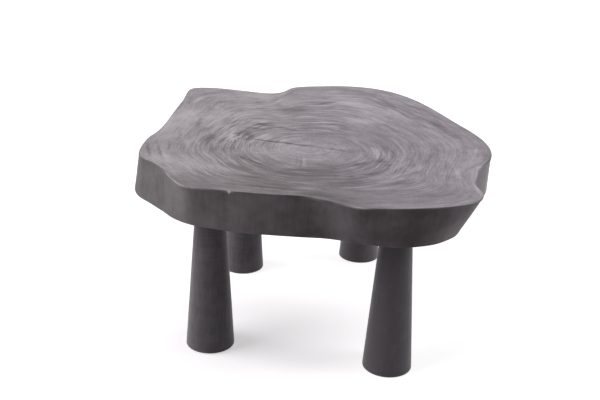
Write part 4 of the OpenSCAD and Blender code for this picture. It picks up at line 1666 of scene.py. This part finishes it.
@dataclass
class MountingPlate:
    """The round steel plate over a leg, with a threaded boss welded on and countersunk screw holes."""

    place: Leg
    seat: float = 358.0
    thickness: float = 3.0
    radius: float = 29.0
    boss_radius: float = 10.0
    boss_top: float = 375.0
    bore: float = 6.1
    thread_depth: float = 0.24
    circle: float = 21.0
    hole: float = 2.35
    hole_mouth: float = 4.6
    weld: float = 2.0
    screws: int = 4
    first_screw_deg: float = 45.0
    edge: float = 0.3           # chamfer round the plate
    boss_edge: float = 0.5      # and outside the boss's top
    lead: float = 0.4           # and at both ends of the thread
    step: float = 0.35          # height between rings of the thread
    edge_points: int = 96       # points in a ring round the plate
    boss_points: int = 48       # round the boss and its bore
    hole_points: int = 32       # and round a screw hole

    def screw_axes(self) -> list[np.ndarray]:
        """The axes of the plate's screws in plan."""
        turns = math.radians(self.first_screw_deg) + FULL_TURN * np.arange(self.screws) / self.screws
        return list(self.place.axis + self.circle * toward(turns))

    def flat_with_holes(self, draft: Draft, loops: list[np.ndarray], up: bool) -> None:
        """Lays a flat face between closed loops of points that are already there.

        Args:
            draft: The plate's draft.
            loops: Numbers of each loop's points, the outer loop first.
            up: True if the face looks up.
        """
        everything = draft.all_points()
        corners = np.array(triangles([everything[loop][:, :2] for loop in loops]))
        loop_of = np.repeat(np.arange(len(loops)), [len(loop) for loop in loops])[corners]
        # a triangle on one inner loop alone fills a hole
        kept = (loop_of != loop_of[:, :1]).any(1) | (loop_of[:, 0] == 0)
        faces = np.concatenate(loops)[corners[kept]]
        draft.add_faces((faces if up else faces[:, ::-1]).tolist())

    def thread(self) -> np.ndarray:
        """Cuts the boss's thread.

        Returns:
            Rings of the bore about the origin, from the boss's top down.
        """
        levels = np.arange(self.boss_top - self.lead, self.seat + self.lead, -self.step)
        mouth = (self.bore + self.lead, self.seat)
        rings = turned([*[(self.bore, level) for level in levels], mouth], self.boss_points)
        flat = rings.reshape(-1, 3)
        turn = np.arctan2(flat[:, 1], flat[:, 0]) / FULL_TURN
        ridge = np.cos(FULL_TURN * ((flat[:, 2] - self.seat) / M12_PITCH - turn))
        return pulled_in(rings, -self.thread_depth * (1 + ridge) / 2)

    def build(self, finish: bpy.types.Material) -> bpy.types.Object:
        """Makes the plate with its boss, weld bead, thread and holes.

        Args:
            finish: Its material.

        Returns:
            The plate.
        """
        draft = Draft()
        axis, top = self.place.axis, self.seat + self.thickness
        rim = [(self.radius - self.edge, self.seat), (self.radius, self.seat + self.edge),
               (self.radius, top - self.edge), (self.radius - self.edge, top)]
        edge = draft.add_rings(moved(turned(rim, self.edge_points), axis))
        tube = [(self.boss_radius + inset, top + rise) for inset, rise in eased(self.weld, 5)]
        tube += [(self.boss_radius, self.boss_top - self.boss_edge),
                 (self.boss_radius - self.boss_edge, self.boss_top), (self.bore + self.lead, self.boss_top)]
        boss = draft.add_rings(moved(turned(tube, self.boss_points), axis))
        thread = moved(self.thread(), axis)
        # the boss's last ring takes the place of the first one
        bore = draft.add_rings(np.concatenate([thread[:1], thread]), first=boss[-1])
        sink = [(self.hole_mouth, self.seat), (self.hole, self.seat + self.hole_mouth - self.hole),
                (self.hole, top)]
        wall = turned(sink, self.hole_points)[:, ::-1]
        walls = [draft.add_rings(moved(wall, screw)) for screw in self.screw_axes()]
        self.flat_with_holes(draft, [edge[0], bore[-1], *[wall[0] for wall in walls]], up=False)
        self.flat_with_holes(draft, [edge[-1], boss[0], *[wall[-1] for wall in walls]], up=True)
        node = "mounting_plate_" + self.place.label
        return draft.stand_for(node, "welded_" + node, [finish])

    def build_screws(self, finish: bpy.types.Material) -> bpy.types.Object:
        """Makes the plate's screws as one group.

        Args:
            finish: Their material.

        Returns:
            The screws.
        """
        draft = Draft()
        for screw in self.screw_axes():
            WoodScrew().lay(draft, screw, self.seat)
        node = "plate_screws_" + self.place.label
        return draft.stand_for(node, "countersunk_" + node, [finish])


@dataclass
class FootGlide:
    """The nylon disc let into a foot, standing proud of it."""

    place: Leg
    radius: float = 30.0
    thickness: float = 6.0
    bevel: float = 1.0
    hole: float = 2.1
    head: float = 4.1
    head_sunk: float = 1.0
    head_height: float = 2.0
    mouth_edge: float = 0.2     # chamfer of the screw's mouth
    top_edge: float = 0.3       # and of the upper edge
    count: int = 96             # points in a ring
    sole_rings: tuple[float, float, int] = (8.0, 28.5, 6)     # from, to, and how many
    upper_rings: tuple[float, float] = (22.0, 12.0)

    def build(self, finish: bpy.types.Material) -> bpy.types.Object:
        """Makes the glide.

        Args:
            finish: Its material.

        Returns:
            The glide.
        """
        loop = [(self.hole, self.thickness), (self.hole, self.head_sunk + self.head_height),
                (self.head, self.head_sunk), (self.head, self.mouth_edge), (self.head + self.mouth_edge, 0.0)]
        loop += [(radius, 0.0) for radius in np.linspace(*self.sole_rings)]
        loop += [(self.radius - inset, rise) for inset, rise in eased(self.bevel, 5)]
        loop += [(self.radius, self.thickness - self.top_edge), (self.radius - self.top_edge, self.thickness)]
        loop += [(radius, self.thickness) for radius in self.upper_rings]
        draft = Draft()
        numbers = draft.add_rings(moved(turned(loop, self.count), self.place.axis))
        draft.join(numbers[[-1, 0]])
        node = "foot_glide_" + self.place.label
        return draft.stand_for(node, "nylon_" + node, [finish])


def build_glide_screws(finish: bpy.types.Material, sunk: float = 1.0) -> bpy.types.Object:
    """Makes the four screws that hold the glides, as one group.

    Args:
        finish: Their material.
        sunk: How far the heads are sunk in the glides.

    Returns:
        The screws.
    """
    draft = Draft()
    for leg in Leg:
        WoodScrew(shank=4.0, head=8.0, length=25.0, pitch=1.8).lay(draft, leg.axis, sunk)
    return draft.stand_for("glide_screws", "countersunk_glide_screws", [finish])


@dataclass(frozen=True)
class SoftLight:
    """A wide, far soft light, which reaches the whole floor evenly.

    Args:
        name: Its name.
        azimuth_deg: Where it stands, turning from the right (0) by the back (90) to the left (180).
        height_deg: How high it stands above the floor.
        wide_deg: How wide it looks from the table.
        level: What a white surface that faces it shows, where 1 is white.
    """

    name: str
    azimuth_deg: float
    height_deg: float
    wide_deg: float
    level: float

    def hang(self) -> None:
        """Puts the light in the scene."""
        lamp = bpy.data.lights.new(self.name, "SUN")
        lamp.angle = math.radians(self.wide_deg)
        lamp.energy = self.level * math.pi
        made = bpy.data.objects.new(self.name, lamp)
        azimuth, height = math.radians(self.azimuth_deg), math.radians(self.height_deg)
        away = mathutils.Vector((*toward(azimuth) * math.cos(height), math.sin(height)))
        made.location = away * 4      # metres; where such a light stands makes no difference
        made.rotation_euler = (-away).to_track_quat("-Z", "Y").to_euler()
        bpy.context.scene.collection.objects.link(made)


@dataclass
class Studio:
    """The photographer's studio: white paper, soft lights and the camera."""

    camera_at: tuple[float, float, float] = (-0.0313, -2.2278, 1.172)
    tilt: float = 0.38148          # radians below level
    roll: float = 0.036431
    lens: float = 58.035           # millimetres, on a sensor of the width below
    sensor: float = 36.0
    floor_half: float = 9.0        # metres
    floor_lines: int = 9
    ambient: float = 0.02
    lights: tuple[SoftLight, ...] = (
        SoftLight("left_softbox", 188.0, 36.0, 52.0, 1.04),
        SoftLight("right_softbox", 0.0, 30.0, 30.0, 0.45),
        SoftLight("back_softbox", 90.0, 50.0, 50.0, 0.12))

    def build(self) -> None:
        """Rolls out the paper, lights it and sets up the camera."""
        self.roll_out_paper()
        self.light_world()
        for light in self.lights:
            light.hang()
        self.set_up_camera()
        bpy.context.scene.view_settings.view_transform = "Standard"

    def roll_out_paper(self) -> None:
        """Makes the floor."""
        steps = np.linspace(-1, 1, self.floor_lines) * self.floor_half / MM
        grid = np.stack(np.meshgrid(steps, steps), -1).reshape(-1, 2)
        draft = Draft()
        rows = draft.add_points(np.column_stack([grid, np.zeros(len(grid))])).reshape(len(steps), -1)
        quads = np.stack([rows[:-1, :-1], rows[:-1, 1:], rows[1:, 1:], rows[1:, :-1]], -1)
        draft.add_faces(quads.reshape(-1, 4).tolist())
        paper = draft.make("studio_paper", [StudioPaper().material()])
        log.info("%s: laid", paper.name)

    def light_world(self) -> None:
        """White to sight and in reflections, and a plain soft light on everything else."""
        world = bpy.data.worlds.new("white studio")
        bpy.context.scene.world = world
        world.use_nodes = True
        tree = world.node_tree
        tree.nodes.clear()
        strength = add_node(tree, "MapRange", inputs={0: seen_ray(tree), 3: self.ambient, 4: 1.0})
        sky = add_node(tree, "Background", inputs={"Color": WHITE, "Strength": strength.outputs[0]})
        add_node(tree, "OutputWorld", inputs={"Surface": sky.outputs[0]})

    def set_up_camera(self) -> None:
        """Puts the camera where the photograph was taken from."""
        camera = bpy.data.cameras.new("camera")
        camera.lens = self.lens
        camera.sensor_width = self.sensor
        made = bpy.data.objects.new("camera", camera)
        level = mathutils.Vector((1, 0, 0))
        down = mathutils.Vector((0, -math.sin(self.tilt), -math.cos(self.tilt)))
        gaze = mathutils.Vector((0, math.cos(self.tilt), -math.sin(self.tilt)))
        right = level * math.cos(self.roll) - down * math.sin(self.roll)
        up = -(level * math.sin(self.roll) + down * math.cos(self.roll))
        made.matrix_world = mathutils.Matrix.Translation(self.camera_at) @ mathutils.Matrix(
            (right, up, -gaze)).transposed().to_4x4()
        bpy.context.scene.collection.objects.link(made)
        bpy.context.scene.camera = made


def main() -> None:
    """Builds the table and the studio, piece by piece."""
    logging.basicConfig(level=logging.INFO, format="%(name)s: %(message)s")
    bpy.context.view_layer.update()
    Slab().build(frame["nodes"])
    stained = TurnedStainedWood().material()
    steel = ZincPlatedSteel().material()
    nylon = MouldedNylon().material()
    for leg in Leg:
        TurnedLeg(leg).build(stained)
        HangerBolt(leg).build(steel)
        plate = MountingPlate(leg)
        plate.build(steel)
        plate.build_screws(steel)
        FootGlide(leg).build(nylon)
    build_glide_screws(steel)
    Studio().build()


if __name__ == "__main__":
    main()
